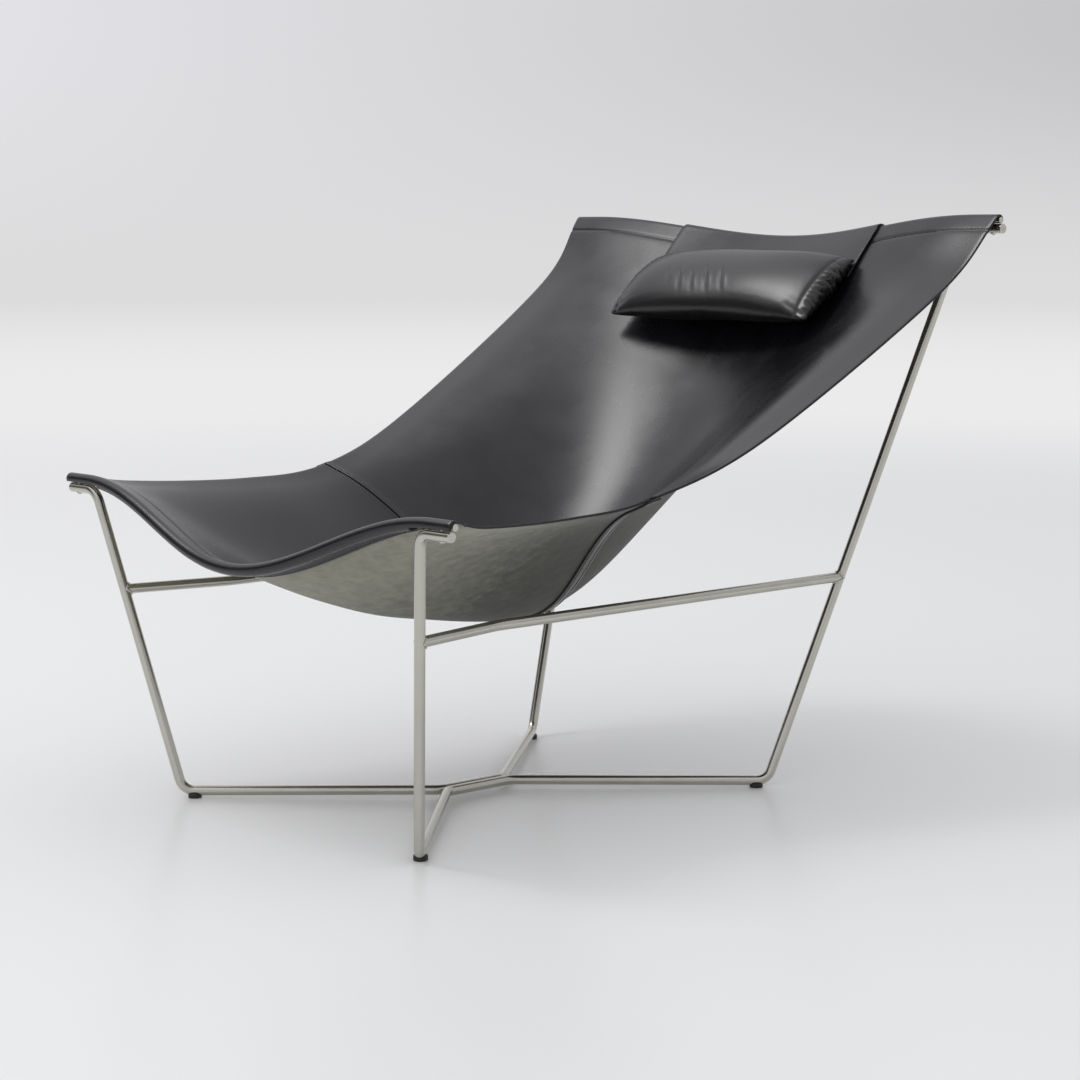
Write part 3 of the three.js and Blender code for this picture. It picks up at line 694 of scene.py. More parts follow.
# Leather, flesh side: a short olive nap with darker blotches where fibres were rubbed flat.
# It pales towards the front edge and darkens towards the seam, which is painted light and shade: the
# floor's light on the front, and shade by the seam.
FLESH_BLOTCH = 18
FLESH_FIBRE = 1.2
FLESH_PAINTED_LIGHT_FROM = -0.13
FLESH_PAINTED_LIGHT_TO = -0.42
flesh_leather, shader, where = new_material("olive flesh-side leather")
blotch = add_node(
    flesh_leather,
    "ShaderNodeTexNoise",
    {"Vector": where, "Scale": per_metre(FLESH_BLOTCH), "Detail": 8, "Roughness": 0.65},
)
fibre = add_node(
    flesh_leather, "ShaderNodeTexNoise", {"Vector": where, "Scale": per_metre(FLESH_FIBRE), "Detail": 4}
)
# Painted light and shade: the underside is paler towards its front edge and darker towards the seam.
along = add_node(flesh_leather, "ShaderNodeSeparateXYZ", {"Vector": where})
painted_light = add_node(
    flesh_leather,
    "ShaderNodeMapRange",
    {"Value": along.outputs["Y"], "From Min": FLESH_PAINTED_LIGHT_FROM, "From Max": FLESH_PAINTED_LIGHT_TO, "To Max": 0.5},
)
mottle_and_painted_light = add_node(
    flesh_leather, "ShaderNodeMath", {0: blotch, 1: 0.5, 2: painted_light}, operation="MULTIPLY_ADD"
)
flesh_tones = [(0.13, "#242320"), (0.8, "#908f80"), (0.36, "#3f3e36")]
tint = add_node(flesh_leather, "ShaderNodeValToRGB", {"Fac": mottle_and_painted_light}, flesh_tones)
nap = add_node(flesh_leather, "ShaderNodeBump", {"Height": fibre, "Strength": 0.4, "Distance": 0.3 * MM})
set_inputs(flesh_leather, shader, {
    "Roughness": 0.85,
    "IOR": 1.45,
    "Sheen Weight": 0.15,
    "Base Color": tint,
    "Normal": nap,
})

# Leather, cut edge: dyed and rubbed until the fibres close, so it is near black, and duller than the grain.
EDGE_FIBRE = 1.5
edge_leather, shader, where = new_material("burnished leather edge")
fibre = add_node(
    edge_leather, "ShaderNodeTexNoise", {"Vector": where, "Scale": per_metre(EDGE_FIBRE), "Detail": 3}
)
shine = add_node(edge_leather, "ShaderNodeMapRange", {"Value": fibre, "To Min": 0.42, "To Max": 0.58})
set_inputs(edge_leather, shader, {"Base Color": linear("#1c1c1d"), "IOR": 1.37, "Roughness": shine})
LEATHER_FACES = [grain_leather, flesh_leather, edge_leather]
LEATHER_SHARP_ANGLE = math.radians(60)
HIDE_EDGE_ROUND = 0.9


def leather_sheet(name, rows, thickness, finishes, body, kept=None, edge_round=HIDE_EDGE_ROUND):
    """A sheet of even thickness on rows of its middle layer, with finishes for top, underside and edge."""
    points = np.asarray(rows, float)
    count, columns = points.shape[:2]
    faces = sheet_faces(count, columns, kept)
    sheet = new_piece(name, points.reshape(-1, 3), faces, finishes, body)
    loose = bmesh.new()
    loose.from_mesh(sheet.data)
    bmesh.ops.delete(loose, geom=[v for v in loose.verts if not v.link_faces], context="VERTS")
    loose.to_mesh(sheet.data)
    loose.free()
    thick = sheet.modifiers.new("thickness", "SOLIDIFY")
    thick.thickness = thickness * MM
    thick.offset = 0
    thick.use_even_offset = True
    thick.material_offset = 1
    thick.material_offset_rim = 2
    eased = sheet.modifiers.new("eased edge", "BEVEL")
    eased.width = edge_round * MM
    eased.segments = 2
    eased.limit_method = "ANGLE"
    eased.angle_limit = LEATHER_SHARP_ANGLE
    return smoothed(settle(sheet), LEATHER_SHARP_ANGLE)


hide_across = np.linspace(-1, 1, COLUMNS + 1)


def hem_kept(cut_rows, across):
    middles = (np.abs(across[1:]) + np.abs(across[:-1])) / 2
    return lambda i, j: i >= cut_rows or middles[j] < HEM_NOTCH


rows, cut_rows = hide_rows(FRONT_HEM, 0.0, hide_across, SEAT_ROWS, 0)
seat = leather_sheet(
    "seat_leather", rows, HIDE_THICKNESS, LEATHER_FACES, "chair", hem_kept(cut_rows, hide_across)
)
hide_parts("seat_hide")
rows, cut_rows = hide_rows(TOP_HEM, 1.0, hide_across[::-1], BACK_ROWS, SEAM_STEP)
back = leather_sheet(
    "back_leather", rows, HIDE_THICKNESS, LEATHER_FACES, "chair", hem_kept(cut_rows, hide_across[::-1])
)
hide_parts("back_hide")

# Polyester thread, waxed and black: the twist of its plies catches a thin line of light on each stitch.
STITCH_PITCH = 5
STITCH_LENGTH = 3.9
STITCH_RUN = np.array([0, 0.12, 0.5, 0.88, 1])
STITCH_STAND = np.array([-0.45, 0.12, 0.3, 0.12, -0.45])
THREAD_RADIUS = np.array([0.3, 0.45, 0.5, 0.45, 0.3])
THREAD_SIDES = 6
THREAD_TWIST = 0.5
STITCHES_FROM_NOTCH = 0.015
SEAM_SAMPLES = 181
sewing_thread, shader, where = new_material("waxed black thread")
twist = add_node(
    sewing_thread, "ShaderNodeTexNoise", {"Vector": where, "Scale": per_metre(THREAD_TWIST), "Detail": 1}
)
plied = add_node(
    sewing_thread, "ShaderNodeBump", {"Height": twist, "Strength": 0.5, "Distance": 0.15 * MM}
)
set_inputs(sewing_thread, shader, {"Base Color": linear("#1a1a1b"), "Roughness": 0.5, "Normal": plied})


def sewn(name, lines, body):
    """Rows of stitches, each along the places and normals of a line drawn on the leather's face."""
    points, faces = [], []
    for places, normals in lines:
        run = np.concatenate([[0], np.cumsum(np.linalg.norm(np.diff(places, axis=0), axis=1))])
        for start in np.arange(STITCH_PITCH / 2, run[-1] - STITCH_PITCH, STITCH_PITCH):
            at = start + STITCH_LENGTH * STITCH_RUN
            on_face = np.stack([np.interp(at, run, places[:, i]) for i in range(3)], axis=1)
            up = unit(np.stack([np.interp(at, run, normals[:, i]) for i in range(3)], axis=1))
            rings = swept_rings(on_face + up * STITCH_STAND[:, None], THREAD_RADIUS, THREAD_SIDES)
            first = len(points) * rings.shape[0] * THREAD_SIDES
            points.append(rings.reshape(-1, 3))
            faces += [tuple(first + i for i in face) for face in ring_faces(len(rings), THREAD_SIDES)]
    thread = new_piece(name, np.concatenate(points), faces, [sewing_thread], body)
    smoothed(face_outward(thread))
    return thread


sewn_reach = HEM_NOTCH - STITCHES_FROM_NOTCH
sewn_across = np.linspace(-sewn_reach, sewn_reach, SEAM_SAMPLES)
hems = [("hem_stitching_front", FRONT_HEM, 0.0), ("hem_stitching_top", TOP_HEM, 1.0)]
for name, hem, end in hems:
    share = moved(end, sewn_across, hem["inward"] * HEM_STITCH)
    above, normals = sling_point(share, sewn_across, HIDE_THICKNESS / 2 - STITCH_GROOVE)
    below, _ = sling_point(share, sewn_across, -HEM_LAY - STITCH_GROOVE - HIDE_THICKNESS / 2)
    sewn(name, [(above, normals), (below, -normals)], "chair")

# Seam welt
# A strip of hide lies under the cross seam and takes both rows of stitching.
# Its outer face is dyed and rubbed like the cut edges, and its ends stand a little past the hides.
WELT_FACES = [grain_leather, edge_leather, edge_leather]
WELT_WIDTH = 22
WELT_THICKNESS = 3
WELT_ROWS = 9
WELT_OVERHANG = 6
welt_reach = 1 + WELT_OVERHANG / SECTIONS[2][0]
welt_across = np.linspace(welt_reach, -welt_reach, COLUMNS + 1)
welt_below = -HIDE_THICKNESS / 2 - JOIN_GAP - WELT_THICKNESS / 2
welt_rows = [
    sling_point(moved(SEAM, welt_across, distance), welt_across, welt_below)[0]
    for distance in np.linspace(-WELT_WIDTH / 2, WELT_WIDTH / 2, WELT_ROWS)
]
welt = leather_sheet("welt_leather", welt_rows, WELT_THICKNESS, WELT_FACES, "chair")
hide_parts("seam_welt")
SEAM_STITCH = 6
SEAM_STITCH_REACH = 0.985
SEAM_STITCH_SINK = 0.2
seam_lines = []
sewn_across = np.linspace(-SEAM_STITCH_REACH, SEAM_STITCH_REACH, SEAM_SAMPLES)
for distance in (-SEAM_STITCH, SEAM_STITCH):
    share = moved(SEAM, sewn_across, distance)
    rise = seam_rise(SEAM_STITCH, SEAM_STEP if distance > 0 else 0)
    above, normals = sling_point(share, sewn_across, HIDE_THICKNESS / 2 - SEAM_STITCH_SINK + rise)
    below, _ = sling_point(share, sewn_across, welt_below - WELT_THICKNESS / 2)
    seam_lines += [(above, normals), (below, -normals)]
seam_stitching = sewn("seam_stitching", seam_lines, "chair")

# Hook screws
# A steel button-head screw goes up through each hook into the rod, so the hem can't slide off.
# Its head sits in a spot face and has a hexagon socket.
SCREW_HEAD_RADIUS = 4.5
SCREW_HEAD_HEIGHT = 3
SCREW_SHANK_RADIUS = 2.5
SCREW_SOCKET_RADIUS = 1.7
SCREW_SOCKET_DEPTH = 2
SCREW_BITE = 5
SCREW_SIDES = 24
SCREW_SEAT_GAP = 0.1
SCREW_CROWN_FLAT = 0.45
SCREW_CROWN_STEPS = 6
SCREW_NECK = 0.01
HEXAGON = 6
KEY_OVERSHOOT = 1
for hand, side in SIDES.items():
    for end, place in screw_places(side).items():
        seat_z = place[2] - BAR_RADIUS + SPOT_FACE_DEPTH - SCREW_SEAT_GAP
        crown = np.linspace(0, 1, SCREW_CROWN_STEPS)
        heights = [seat_z - SCREW_HEAD_HEIGHT * math.cos(t * math.pi / 2) for t in crown]
        radii = [max(SCREW_CROWN_FLAT, math.sin(t * math.pi / 2)) * SCREW_HEAD_RADIUS for t in crown]
        heights += [seat_z + SCREW_NECK, place[2] + BAR_RADIUS + SCREW_BITE]
        radii += [SCREW_SHANK_RADIUS, SCREW_SHANK_RADIUS]
        path = row_of(place[0], place[1], heights)
        screw = round_piece(f"button_screw_{end}_{hand}", path, radii, SCREW_SIDES, satin_steel, "chair")
        bottom = np.array([place[0], place[1], seat_z - SCREW_HEAD_HEIGHT])
        socket = [bottom - [0, 0, KEY_OVERSHOOT], bottom + [0, 0, SCREW_SOCKET_DEPTH]]
        cut_away(screw, round_piece("key", socket, SCREW_SOCKET_RADIUS, HEXAGON, satin_steel, None))
        smoothed(screw)
        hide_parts(f"hook_screw_{end}_{hand}")

# Headrest strap
# A wide flap of thinner leather is sewn to the cushion's back, runs over the top hem and hangs behind it.
# It spans the hollow of the back, and the weight in its pouch draws it taut.
STRAP_HALF = 202
STRAP_THICKNESS = 3
STRAP_GAP = 0.6
STRAP_OFFSET = HIDE_THICKNESS / 2 + STRAP_GAP + STRAP_THICKNESS / 2
STRAP_RADIUS = HEM_ROLL_RADIUS + STRAP_OFFSET
STRAP_LEVEL = 29.9
STRAP_LIFT_RUN = 60
STRAP_EASE = 4
STRAP_TUCK = 20
STRAP_DRAW_IN = 4.5
STRAP_FLAT_BELOW = 21
STRAP_POUCH_ENTRY = 14
STRAP_COLUMNS = 61
STRAP_HIDE_ROWS = 30
STRAP_ROLL_ROWS = 20
STRAP_EASE_ROWS = 9
STRAP_HANG_ROWS = 6
POUCH_DROP = 56
CUSHION_FROM_TOP = 126
top_middle = hem_end(TOP_HEM, False)
strap_back_y = top_middle[1] + STRAP_RADIUS - STRAP_DRAW_IN
pouch_top = top_middle[2] - POUCH_DROP


def from_top(distance):
    return float(moved(1.0, 0.0, -distance))


seat_place, seat_normal = sling_point(from_top(CUSHION_FROM_TOP), 0.0)
strap_x = np.linspace(-STRAP_HALF, STRAP_HALF, STRAP_COLUMNS)
strap_rows = []
for share in np.linspace(from_top(CUSHION_FROM_TOP + STRAP_TUCK), 1, STRAP_HIDE_ROWS)[:-1]:
    edge = along_curve(edge_points, np.array(share))
    on_hide, _ = sling_point(share, strap_x / edge[0], STRAP_OFFSET)
    short = STRAP_LEVEL - (on_hide - seat_place) @ seat_normal
    lift = (short + np.sqrt(short**2 + STRAP_EASE**2)) / 2
    drawn = min(1, np.linalg.norm(edge_points[-1] - edge) / STRAP_LIFT_RUN)
    strap_rows.append(on_hide + np.outer(lift * drawn, seat_normal))
hanging = math.pi - math.radians(TOP_HEM_TILT)
for angle in np.linspace(math.pi / 2, hanging, STRAP_ROLL_ROWS):
    strap_rows.append(rolled_at(TOP_HEM, strap_x / TOP_HEM["half"], angle, STRAP_RADIUS))
flat_z = top_middle[2] - STRAP_FLAT_BELOW
last = strap_rows[-1]
flat = row_of(strap_x, strap_back_y, flat_z)
down = np.array([0, 0, -1.0])
for t in np.linspace(0, 1, STRAP_EASE_ROWS)[1:]:
    strap_rows.append(eased_between(t, last, flat, down, down))
for height in np.linspace(flat_z, pouch_top - STRAP_POUCH_ENTRY, STRAP_HANG_ROWS)[1:]:
    strap_rows.append(row_of(strap_x, strap_back_y, height))
strap = leather_sheet("strap_leather", strap_rows, STRAP_THICKNESS, LEATHER_FACES, None)
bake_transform(strap)
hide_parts("headrest_strap")

# Head cushion
# A stuffed bolster of softer, glossier leather, gathered into a sewn seam at both ends.
# It hangs from its strap and bridges the hollow of the back.
CUSHION_HALF = 203
CUSHION_HEIGHT = 150
CUSHION_FRONT_DEPTH = 42
CUSHION_BACK_DEPTH = 14
CUSHION_LEAN = math.radians(10)
CUSHION_OFF_HIDE = 48
CUSHION_DROP = 10
CUSHION_SEAM_HEIGHT = 140
CUSHION_SEAM_DEPTH = 7
CUSHION_STATIONS = 90
CUSHION_SIDES = 72
STUFFING_VOXEL = 5
STUFFING_PRESSURE = 4
STUFFING_FRAMES = 20
STUFFING_REACH = 5
PUCKER_PITCH = 11
PUCKER_DEPTH = 2.8
PUCKER_DEPTH_RIGHT = 1.1
PUCKER_FROM = 186
PUCKER_RISE = 12
BAND_DEPTH = 1.1
BAND_WIDTH = 3
SEWN_END = 4
NAPPA_SHARP_ANGLE = math.radians(75)
# Nappa leather: drum-dyed and soft, with hardly any pebble and a clear finish that shines along each fold.
NAPPA_PEBBLE = 1.3
NAPPA_CREASE = 14
nappa_leather, shader, where = new_material("black nappa leather")
pebble = add_node(
    nappa_leather,
    "ShaderNodeTexVoronoi",
    {"Vector": where, "Scale": per_metre(NAPPA_PEBBLE)},
    feature="SMOOTH_F1",
)
crease = add_node(
    nappa_leather,
    "ShaderNodeTexNoise",
    {"Vector": where, "Scale": per_metre(NAPPA_CREASE), "Detail": 5, "Distortion": 1.2},
)
creased = add_node(
    nappa_leather, "ShaderNodeBump", {"Height": crease, "Strength": 0.2, "Distance": 1.0 * MM}
)
grained = add_node(
    nappa_leather,
    "ShaderNodeBump",
    {
        "Height": pebble,
        "Normal": creased,
        "Strength": 0.08,
        "Distance": 0.1 * MM,
    },
)
set_inputs(nappa_leather, shader, {
    "Base Color": linear("#0a0a0d"),
    "Roughness": 0.3,
    "IOR": 1.55,
    "Normal": grained,
})

slide_up = np.cross([-1.0, 0, 0], seat_normal)
forward = seat_normal * math.cos(CUSHION_LEAN) + slide_up * math.sin(CUSHION_LEAN)
upward = slide_up * math.cos(CUSHION_LEAN) - seat_normal * math.sin(CUSHION_LEAN)
cushion_middle = seat_place + seat_normal * CUSHION_OFF_HIDE - slide_up * CUSHION_DROP
turn = full_turn(CUSHION_SIDES)
rings = []
for share in np.sin(math.pi * (np.linspace(0, 1, CUSHION_STATIONS + 1) - 0.5)):
    full = math.sqrt(max(0, 1 - abs(share) ** 3))
    height = (CUSHION_SEAM_HEIGHT + (CUSHION_HEIGHT - CUSHION_SEAM_HEIGHT) * full) / 2
    front = CUSHION_SEAM_DEPTH / 2 + (CUSHION_FRONT_DEPTH - CUSHION_SEAM_DEPTH / 2) * full
    behind = CUSHION_SEAM_DEPTH / 2 + (CUSHION_BACK_DEPTH - CUSHION_SEAM_DEPTH / 2) * full
    depth = np.where(np.sin(turn) > 0, front, behind) * np.sin(turn)
    middle = cushion_middle + [share * CUSHION_HALF, 0, 0]
    rings.append(middle + np.outer(height * np.cos(turn), upward) + np.outer(depth, forward))
rings = np.array(rings)
cushion = new_piece(
    "cushion_nappa", rings.reshape(-1, 3), ring_faces(len(rings), CUSHION_SIDES), [nappa_leather], None
)
face_outward(cushion)


def places_of(mesh):
    places = np.empty(len(mesh.vertices) * 3)
    mesh.vertices.foreach_get("co", places)
    return places.reshape(-1, 3)


def put_places(mesh, places):
    mesh.vertices.foreach_set("co", places.ravel())
    mesh.update()


def stuffed(piece, held):
    """Blow the cover up from inside, with some points held, and none carried past the stuffing's reach."""
    skin = piece.modifiers.new("skin", "REMESH")
    skin.mode = "VOXEL"
    skin.voxel_size = STUFFING_VOXEL * MM
    settle(piece)
    start = places_of(piece.data)
    pinned = piece.vertex_groups.new(name="sewn ends")
    pinned.add([int(i) for i in np.nonzero(held(start))[0]], 1, "REPLACE")
    cloth = piece.modifiers.new("cover", "CLOTH").settings
    cloth.vertex_group_mass = pinned.name
    cloth.use_pressure = True
    cloth.uniform_pressure_force = STUFFING_PRESSURE
    cloth.effector_weights.gravity = 0
    scene = bpy.context.scene
    for step in range(1, STUFFING_FRAMES + 1):
        scene.frame_set(step)
    blown = places_of(piece.evaluated_get(bpy.context.evaluated_depsgraph_get()).data)
    scene.frame_set(1)
    piece.modifiers.clear()
    piece.vertex_groups.clear()
    move = blown - start
    length = np.linalg.norm(move, axis=1, keepdims=True)
    put_places(piece.data, start + move * np.minimum(1, STUFFING_REACH * MM / np.maximum(length, 1e-9)))


stuffed(cushion, lambda places: np.abs(places[:, 0]) > (CUSHION_HALF - SEWN_END) * MM)
finer = cushion.modifiers.new("finer", "SUBSURF")
finer.levels = 1
settle(cushion)

# The gathers at the ends, and the short creases in the front, are pressed into the stuffed cover.
# A crease is its place across and up, its length and its depth. The waves only make the gathers uneven.
CREASES = [
    (-66, -20, 34, 2.4),
    (-39, -22, 32, 2.2),
    (-11, -18, 36, 2.6),
    (22, -21, 32, 2.1),
    (-92, -16, 24, 1.2),
]
CREASE_WIDTH = 4.5
CREASE_LEAN = 0.55
CREASE_LIP = 0.5
CREASE_LIP_ASIDE = 1.6
SWELL_DEPTH = 0.9
places = places_of(cushion.data)
normals = np.empty(len(places) * 3)
cushion.data.vertex_normals.foreach_get("vector", normals)
local = places / MM - (cushion_middle + [0, shift_y, 0])
across, up, out = local[:, 0], local @ upward, local @ forward
wobble = 1.7 * np.sin(up / 13 + np.sign(across)) + 0.9 * np.sin(up / 7.3 - out / 6)
wave = np.sin(2 * math.pi * up / PUCKER_PITCH + wobble) + 0.6 * np.sin(2 * math.pi * up / 7.1 - out / 4)
wave *= 0.7 + 0.3 * np.sin(up / 19 + 1.1)
at_end = np.clip((np.abs(across) - PUCKER_FROM) / PUCKER_RISE, 0, 1)
push = np.where(across > 0, PUCKER_DEPTH, PUCKER_DEPTH_RIGHT) * wave * at_end**2
push -= BAND_DEPTH * np.exp(-(((np.abs(across) - PUCKER_FROM) / BAND_WIDTH) ** 2)) * (out > 0)
swell = np.sin(across / 31 + 0.6 * np.sin(up / 23)) * np.cos(up / 27 + 0.5 * np.sin(across / 40))
push += SWELL_DEPTH * swell
for at, height, length, depth in CREASES:
    aside = (across - at + CREASE_LEAN * (up - height)) / CREASE_WIDTH
    press = np.exp(-(aside**2)) - CREASE_LIP * np.exp(-((aside - CREASE_LIP_ASIDE) ** 2))
    push -= depth * press * np.exp(-(((up - height) / length * 2) ** 2)) * (out > 0)
put_places(cushion.data, places + normals.reshape(-1, 3) * push[:, None] * MM)
smoothed(cushion, NAPPA_SHARP_ANGLE)
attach(cushion, "headrest")
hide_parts("head_cushion")

# Counterweight
# A flat steel bar in a leather pocket hangs from the strap and balances the cushion.
# The pocket is one strip, grain side out, folded under the bar and sewn up both sides.
POUCH_FACES = [flesh_leather, grain_leather, edge_leather]
POUCH_HEIGHT = 64
POUCH_WALL = 2.5
POUCH_FOLD = 4
WEIGHT_THICKNESS = 8
POUCH_FLANGE_FROM = 205.5
POUCH_FLANGE_TO = 211
POUCH_FLANGE_OPEN = 0.1
POUCH_HALF = 216
POUCH_EDGE_ROUND = 0.6
POUCH_WALL_ROWS = 14
POUCH_FOLD_ROWS = 6
POUCH_COLUMNS = 41
POUCH_FLANGE_COLUMNS = 9
pouch_front = strap_back_y - STRAP_THICKNESS / 2 - JOIN_GAP - POUCH_WALL / 2
pouch_back = strap_back_y + STRAP_THICKNESS / 2 + 2 * JOIN_GAP + WEIGHT_THICKNESS + POUCH_WALL / 2
pouch_bottom = pouch_top - POUCH_HEIGHT + POUCH_WALL / 2
profile = [(pouch_front, z) for z in np.linspace(pouch_top, pouch_bottom + POUCH_FOLD, POUCH_WALL_ROWS)]
for angle in np.linspace(0, math.pi / 2, POUCH_FOLD_ROWS)[1:]:
    y = pouch_front + POUCH_FOLD * (1 - math.cos(angle))
    profile.append((y, pouch_bottom + POUCH_FOLD * (1 - math.sin(angle))))
pouch_middle = (pouch_front + pouch_back) / 2
profile += [(2 * pouch_middle - y, z) for y, z in reversed(profile)]
flange_x = np.linspace(POUCH_FLANGE_FROM, POUCH_HALF, POUCH_FLANGE_COLUMNS)[1:]
pocket_x = np.linspace(-POUCH_FLANGE_FROM, POUCH_FLANGE_FROM, POUCH_COLUMNS)
pouch_x = np.concatenate([-flange_x[::-1], pocket_x, flange_x])
pressed = smooth_step((np.abs(pouch_x) - POUCH_FLANGE_FROM) / (POUCH_FLANGE_TO - POUCH_FLANGE_FROM))
half_depth = (pouch_back - pouch_front) / 2
closed = 1 - pressed * (1 - (POUCH_WALL / 2 + POUCH_FLANGE_OPEN) / half_depth)
pouch_rows = [row_of(pouch_x, pouch_middle + (y - pouch_middle) * closed, z) for y, z in profile]
pouch = leather_sheet(
    "pouch_leather", pouch_rows, POUCH_WALL, POUCH_FACES, "counterweight", edge_round=POUCH_EDGE_ROUND
)
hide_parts("counterweight_pouch")
POUCH_STITCH_X = 213
POUCH_STITCH_FROM_TOP = 3
POUCH_STITCH_FROM_FOLD = 5
POUCH_STITCH_SAMPLES = 40
pouch_lines = []
sewn_from = pouch_top - POUCH_STITCH_FROM_TOP
sewn_to = pouch_bottom + POUCH_STITCH_FROM_FOLD
sewn_z = np.linspace(sewn_from, sewn_to, POUCH_STITCH_SAMPLES)
for side in SIDES.values():
    for facing in (-1, 1):
        y = pouch_middle + facing * (POUCH_WALL + POUCH_FLANGE_OPEN)
        places = row_of(side * POUCH_STITCH_X, y, sewn_z)
        pouch_lines.append((places, np.tile([0.0, facing, 0.0], (len(sewn_z), 1))))
pouch_stitching = sewn("pouch_stitching", pouch_lines, "counterweight")
weight_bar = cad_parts["counterweight_bar"]
weight_bar.data.materials.clear()
weight_bar.data.materials.append(satin_steel)

# Studio
# A pale floor runs out into a plain pale wall, under even light from all round. A soft box stands high on
# the sitter's right, with a twin that shows only in gloss, because highlights here outdo the shadows.
# The camera is where the picture was taken from.
FLOOR_RINGS = (1, 2000, 5000, 30000)
FLOOR_SIDES = 96
FLOOR_FADE_FROM = 3.5
FLOOR_FADE_TO = 8
FLOOR_MEETS_WALL = 28
EYE = (2687.6, -2460.9, 787.6)
AIM = (-0.3, 0, 350)
LENS = 85.757
FLOOR_FAR = "#ebebec"
WALL_LOW = "#dcdcdd"
# The upper wall is painted lighter on the left and darker on the right, a painted shade for light falling
# off across it.
WALL_HIGH_LEFT = "#e2e1e5"
WALL_SHADED_HIGH_RIGHT = "#c6c6c8"
AIR_STRENGTH = 1.03
WALL_RIGHT = (0.675, 0.7375, 0)
ROOM_DIM = 0.12
OPENING = (-0.67, -0.74, 0.05)
OPENING_CORE = 0.95
OPENING_RIM = 0.74
CEILING_GLOW = 0.4
SOFTBOX_AIM = (0, 0.1, 0.5)
SOFTBOX_AZIMUTH = math.radians(-133)
SOFTBOX_ELEVATION = math.radians(60)
SOFTBOX_DISTANCE = 6
SOFTBOX_WIDTH = 0.9
SOFTBOX_HEIGHT = 3.0
KEY_WATTS = 65
GLOSS_WATTS = 240
floor_paint, shader, where = new_material("pale studio floor")
far = add_node(floor_paint, "ShaderNodeVectorMath", {0: where}, operation="LENGTH")
fade = add_node(
    floor_paint,
    "ShaderNodeMapRange",
    {"Value": far.outputs["Value"], "From Min": FLOOR_FADE_FROM, "From Max": FLOOR_FADE_TO},
    interpolation_type="SMOOTHSTEP",
)
set_inputs(floor_paint, shader, {
    "Base Color": linear("#e4e4e4"),
    "Roughness": 0.28,
    "Specular IOR Level": 0.25,
})
distance = add_node(
    floor_paint,
    "ShaderNodeMapRange",
    {"Value": far.outputs["Value"], "From Min": FLOOR_FADE_TO, "From Max": FLOOR_MEETS_WALL},
    interpolation_type="SMOOTHSTEP",
)
far_tones = [(0, FLOOR_FAR), (1, WALL_LOW)]
far_tint = add_node(floor_paint, "ShaderNodeValToRGB", {"Fac": distance}, far_tones)
wall_glow = add_node(floor_paint, "ShaderNodeEmission", {"Color": far_tint})
fading = add_node(floor_paint, "ShaderNodeMixShader", {0: fade, 1: shader, 2: wall_glow})
set_inputs(floor_paint, floor_paint.node_tree.nodes["Material Output"], {"Surface": fading})
points = [(r * math.cos(t), r * math.sin(t), 0) for r in FLOOR_RINGS for t in full_turn(FLOOR_SIDES)]
floor_faces = ring_faces(len(FLOOR_RINGS), FLOOR_SIDES)[:-1]
floor = new_piece("studio_floor", points, floor_faces, [floor_paint], None)

world = bpy.data.worlds.new("studio air")
bpy.context.scene.world = world
world.use_nodes = True
ray = add_node(world, "ShaderNodeLightPath")
seen = ray.outputs["Is Camera Ray"]
for kind in ("Is Glossy Ray", "Is Transmission Ray"):
    seen = add_node(world, "ShaderNodeMath", {0: seen, 1: ray.outputs[kind]}, operation="MAXIMUM")
heading = add_node(world, "ShaderNodeTexCoord").outputs["Generated"]
height = add_node(world, "ShaderNodeSeparateXYZ", {"Vector": heading})
aside = add_node(world, "ShaderNodeVectorMath", {0: heading, 1: WALL_RIGHT}, operation="DOT_PRODUCT")
# Painted shade: the upper wall darkens from left to right.
painted_shade_share = add_node(
    world, "ShaderNodeMapRange", {"Value": aside.outputs["Value"], "From Min": -0.2, "From Max": 0.2}
)
painted_wall_shade_tones = [(0, WALL_HIGH_LEFT), (1, WALL_SHADED_HIGH_RIGHT)]
high = add_node(world, "ShaderNodeValToRGB", {"Fac": painted_shade_share}, painted_wall_shade_tones)
up_share = add_node(
    world,
    "ShaderNodeMapRange",
    {"Value": height.outputs["Z"], "From Min": -0.03, "From Max": 0.08},
    interpolation_type="SMOOTHSTEP",
)
wall = add_node(world, "ShaderNodeMix", {0: up_share, 6: linear(WALL_LOW), 7: high}, data_type="RGBA")
air = world.node_tree.nodes["Background"]
set_inputs(world, air, {"Color": linear("#f7f8fa"), "Strength": AIR_STRENGTH})
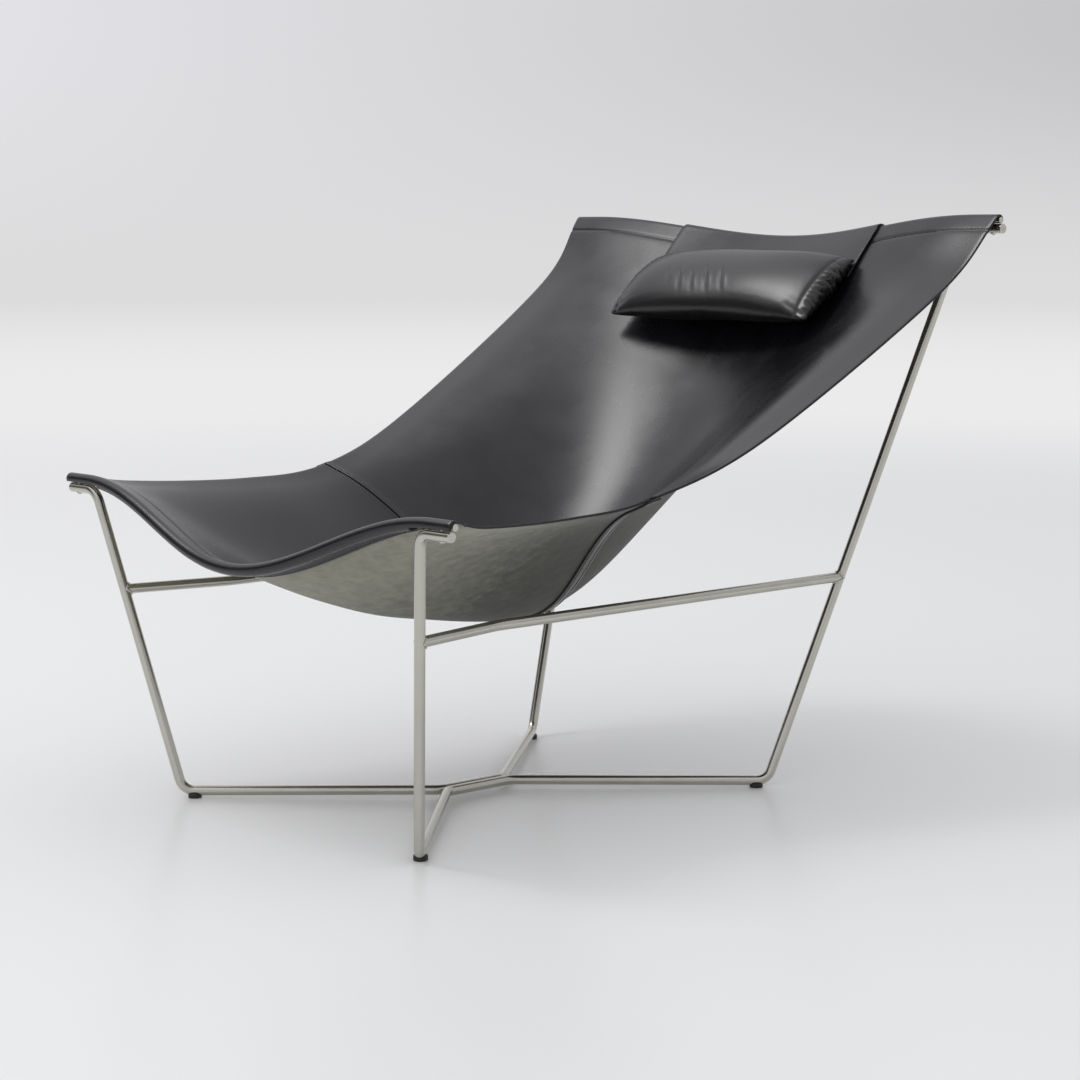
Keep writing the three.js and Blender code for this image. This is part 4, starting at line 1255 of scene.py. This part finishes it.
# Gloss shows the pale wall and a brighter ceiling, but a dim opening in front, on the sitter's right
toward = add_node(world, "ShaderNodeVectorMath", {0: heading, 1: OPENING}, operation="DOT_PRODUCT")
lit_side = add_node(
    world,
    "ShaderNodeMapRange",
    {
        "Value": toward.outputs["Value"],
        "From Min": OPENING_CORE,
        "From Max": OPENING_RIM,
        "To Min": ROOM_DIM,
        "To Max": 1,
    },
    interpolation_type="SMOOTHSTEP",
)
lit_above = add_node(
    world,
    "ShaderNodeMapRange",
    {"Value": height.outputs["Z"], "From Min": 0.45, "From Max": 0.85, "To Max": CEILING_GLOW},
    interpolation_type="SMOOTHSTEP",
)
room = add_node(world, "ShaderNodeMath", {0: lit_side, 1: lit_above})
level = add_node(
    world, "ShaderNodeMapRange", {"Value": ray.outputs["Is Glossy Ray"], "To Min": 1, "To Max": room}
)
backdrop = add_node(world, "ShaderNodeBackground", {"Color": wall.outputs[2], "Strength": level})
both = add_node(world, "ShaderNodeMixShader", {0: seen, 1: air, 2: backdrop})
set_inputs(world, world.node_tree.nodes["World Output"], {"Surface": both})


def softbox(name, watts, gloss_only):
    flat = math.cos(SOFTBOX_ELEVATION)
    toward = Vector((
        flat * math.sin(SOFTBOX_AZIMUTH),
        flat * math.cos(SOFTBOX_AZIMUTH),
        math.sin(SOFTBOX_ELEVATION),
    ))
    lamp = bpy.data.lights.new(name, "AREA")
    lamp.shape = "RECTANGLE"
    lamp.size = SOFTBOX_WIDTH
    lamp.size_y = SOFTBOX_HEIGHT
    lamp.energy = watts
    box = bpy.data.objects.new(name, lamp)
    box.location = Vector(SOFTBOX_AIM) + toward * SOFTBOX_DISTANCE
    box.rotation_euler = (-toward).to_track_quat("-Z", "Y").to_euler()
    box.visible_diffuse = not gloss_only
    bpy.context.collection.objects.link(box)


softbox("key_softbox", KEY_WATTS, gloss_only=False)
softbox("gloss_softbox", GLOSS_WATTS, gloss_only=True)

camera = bpy.data.objects.new("camera", bpy.data.cameras.new("camera"))
camera.data.lens = LENS
camera.data.sensor_width = 36
camera.location = in_frame(EYE)
camera.rotation_euler = Vector(in_frame(AIM) - in_frame(EYE)).to_track_quat("-Z", "Y").to_euler()
bpy.context.collection.objects.link(camera)
bpy.context.scene.camera = camera
bpy.context.scene.view_settings.view_transform = "Standard"
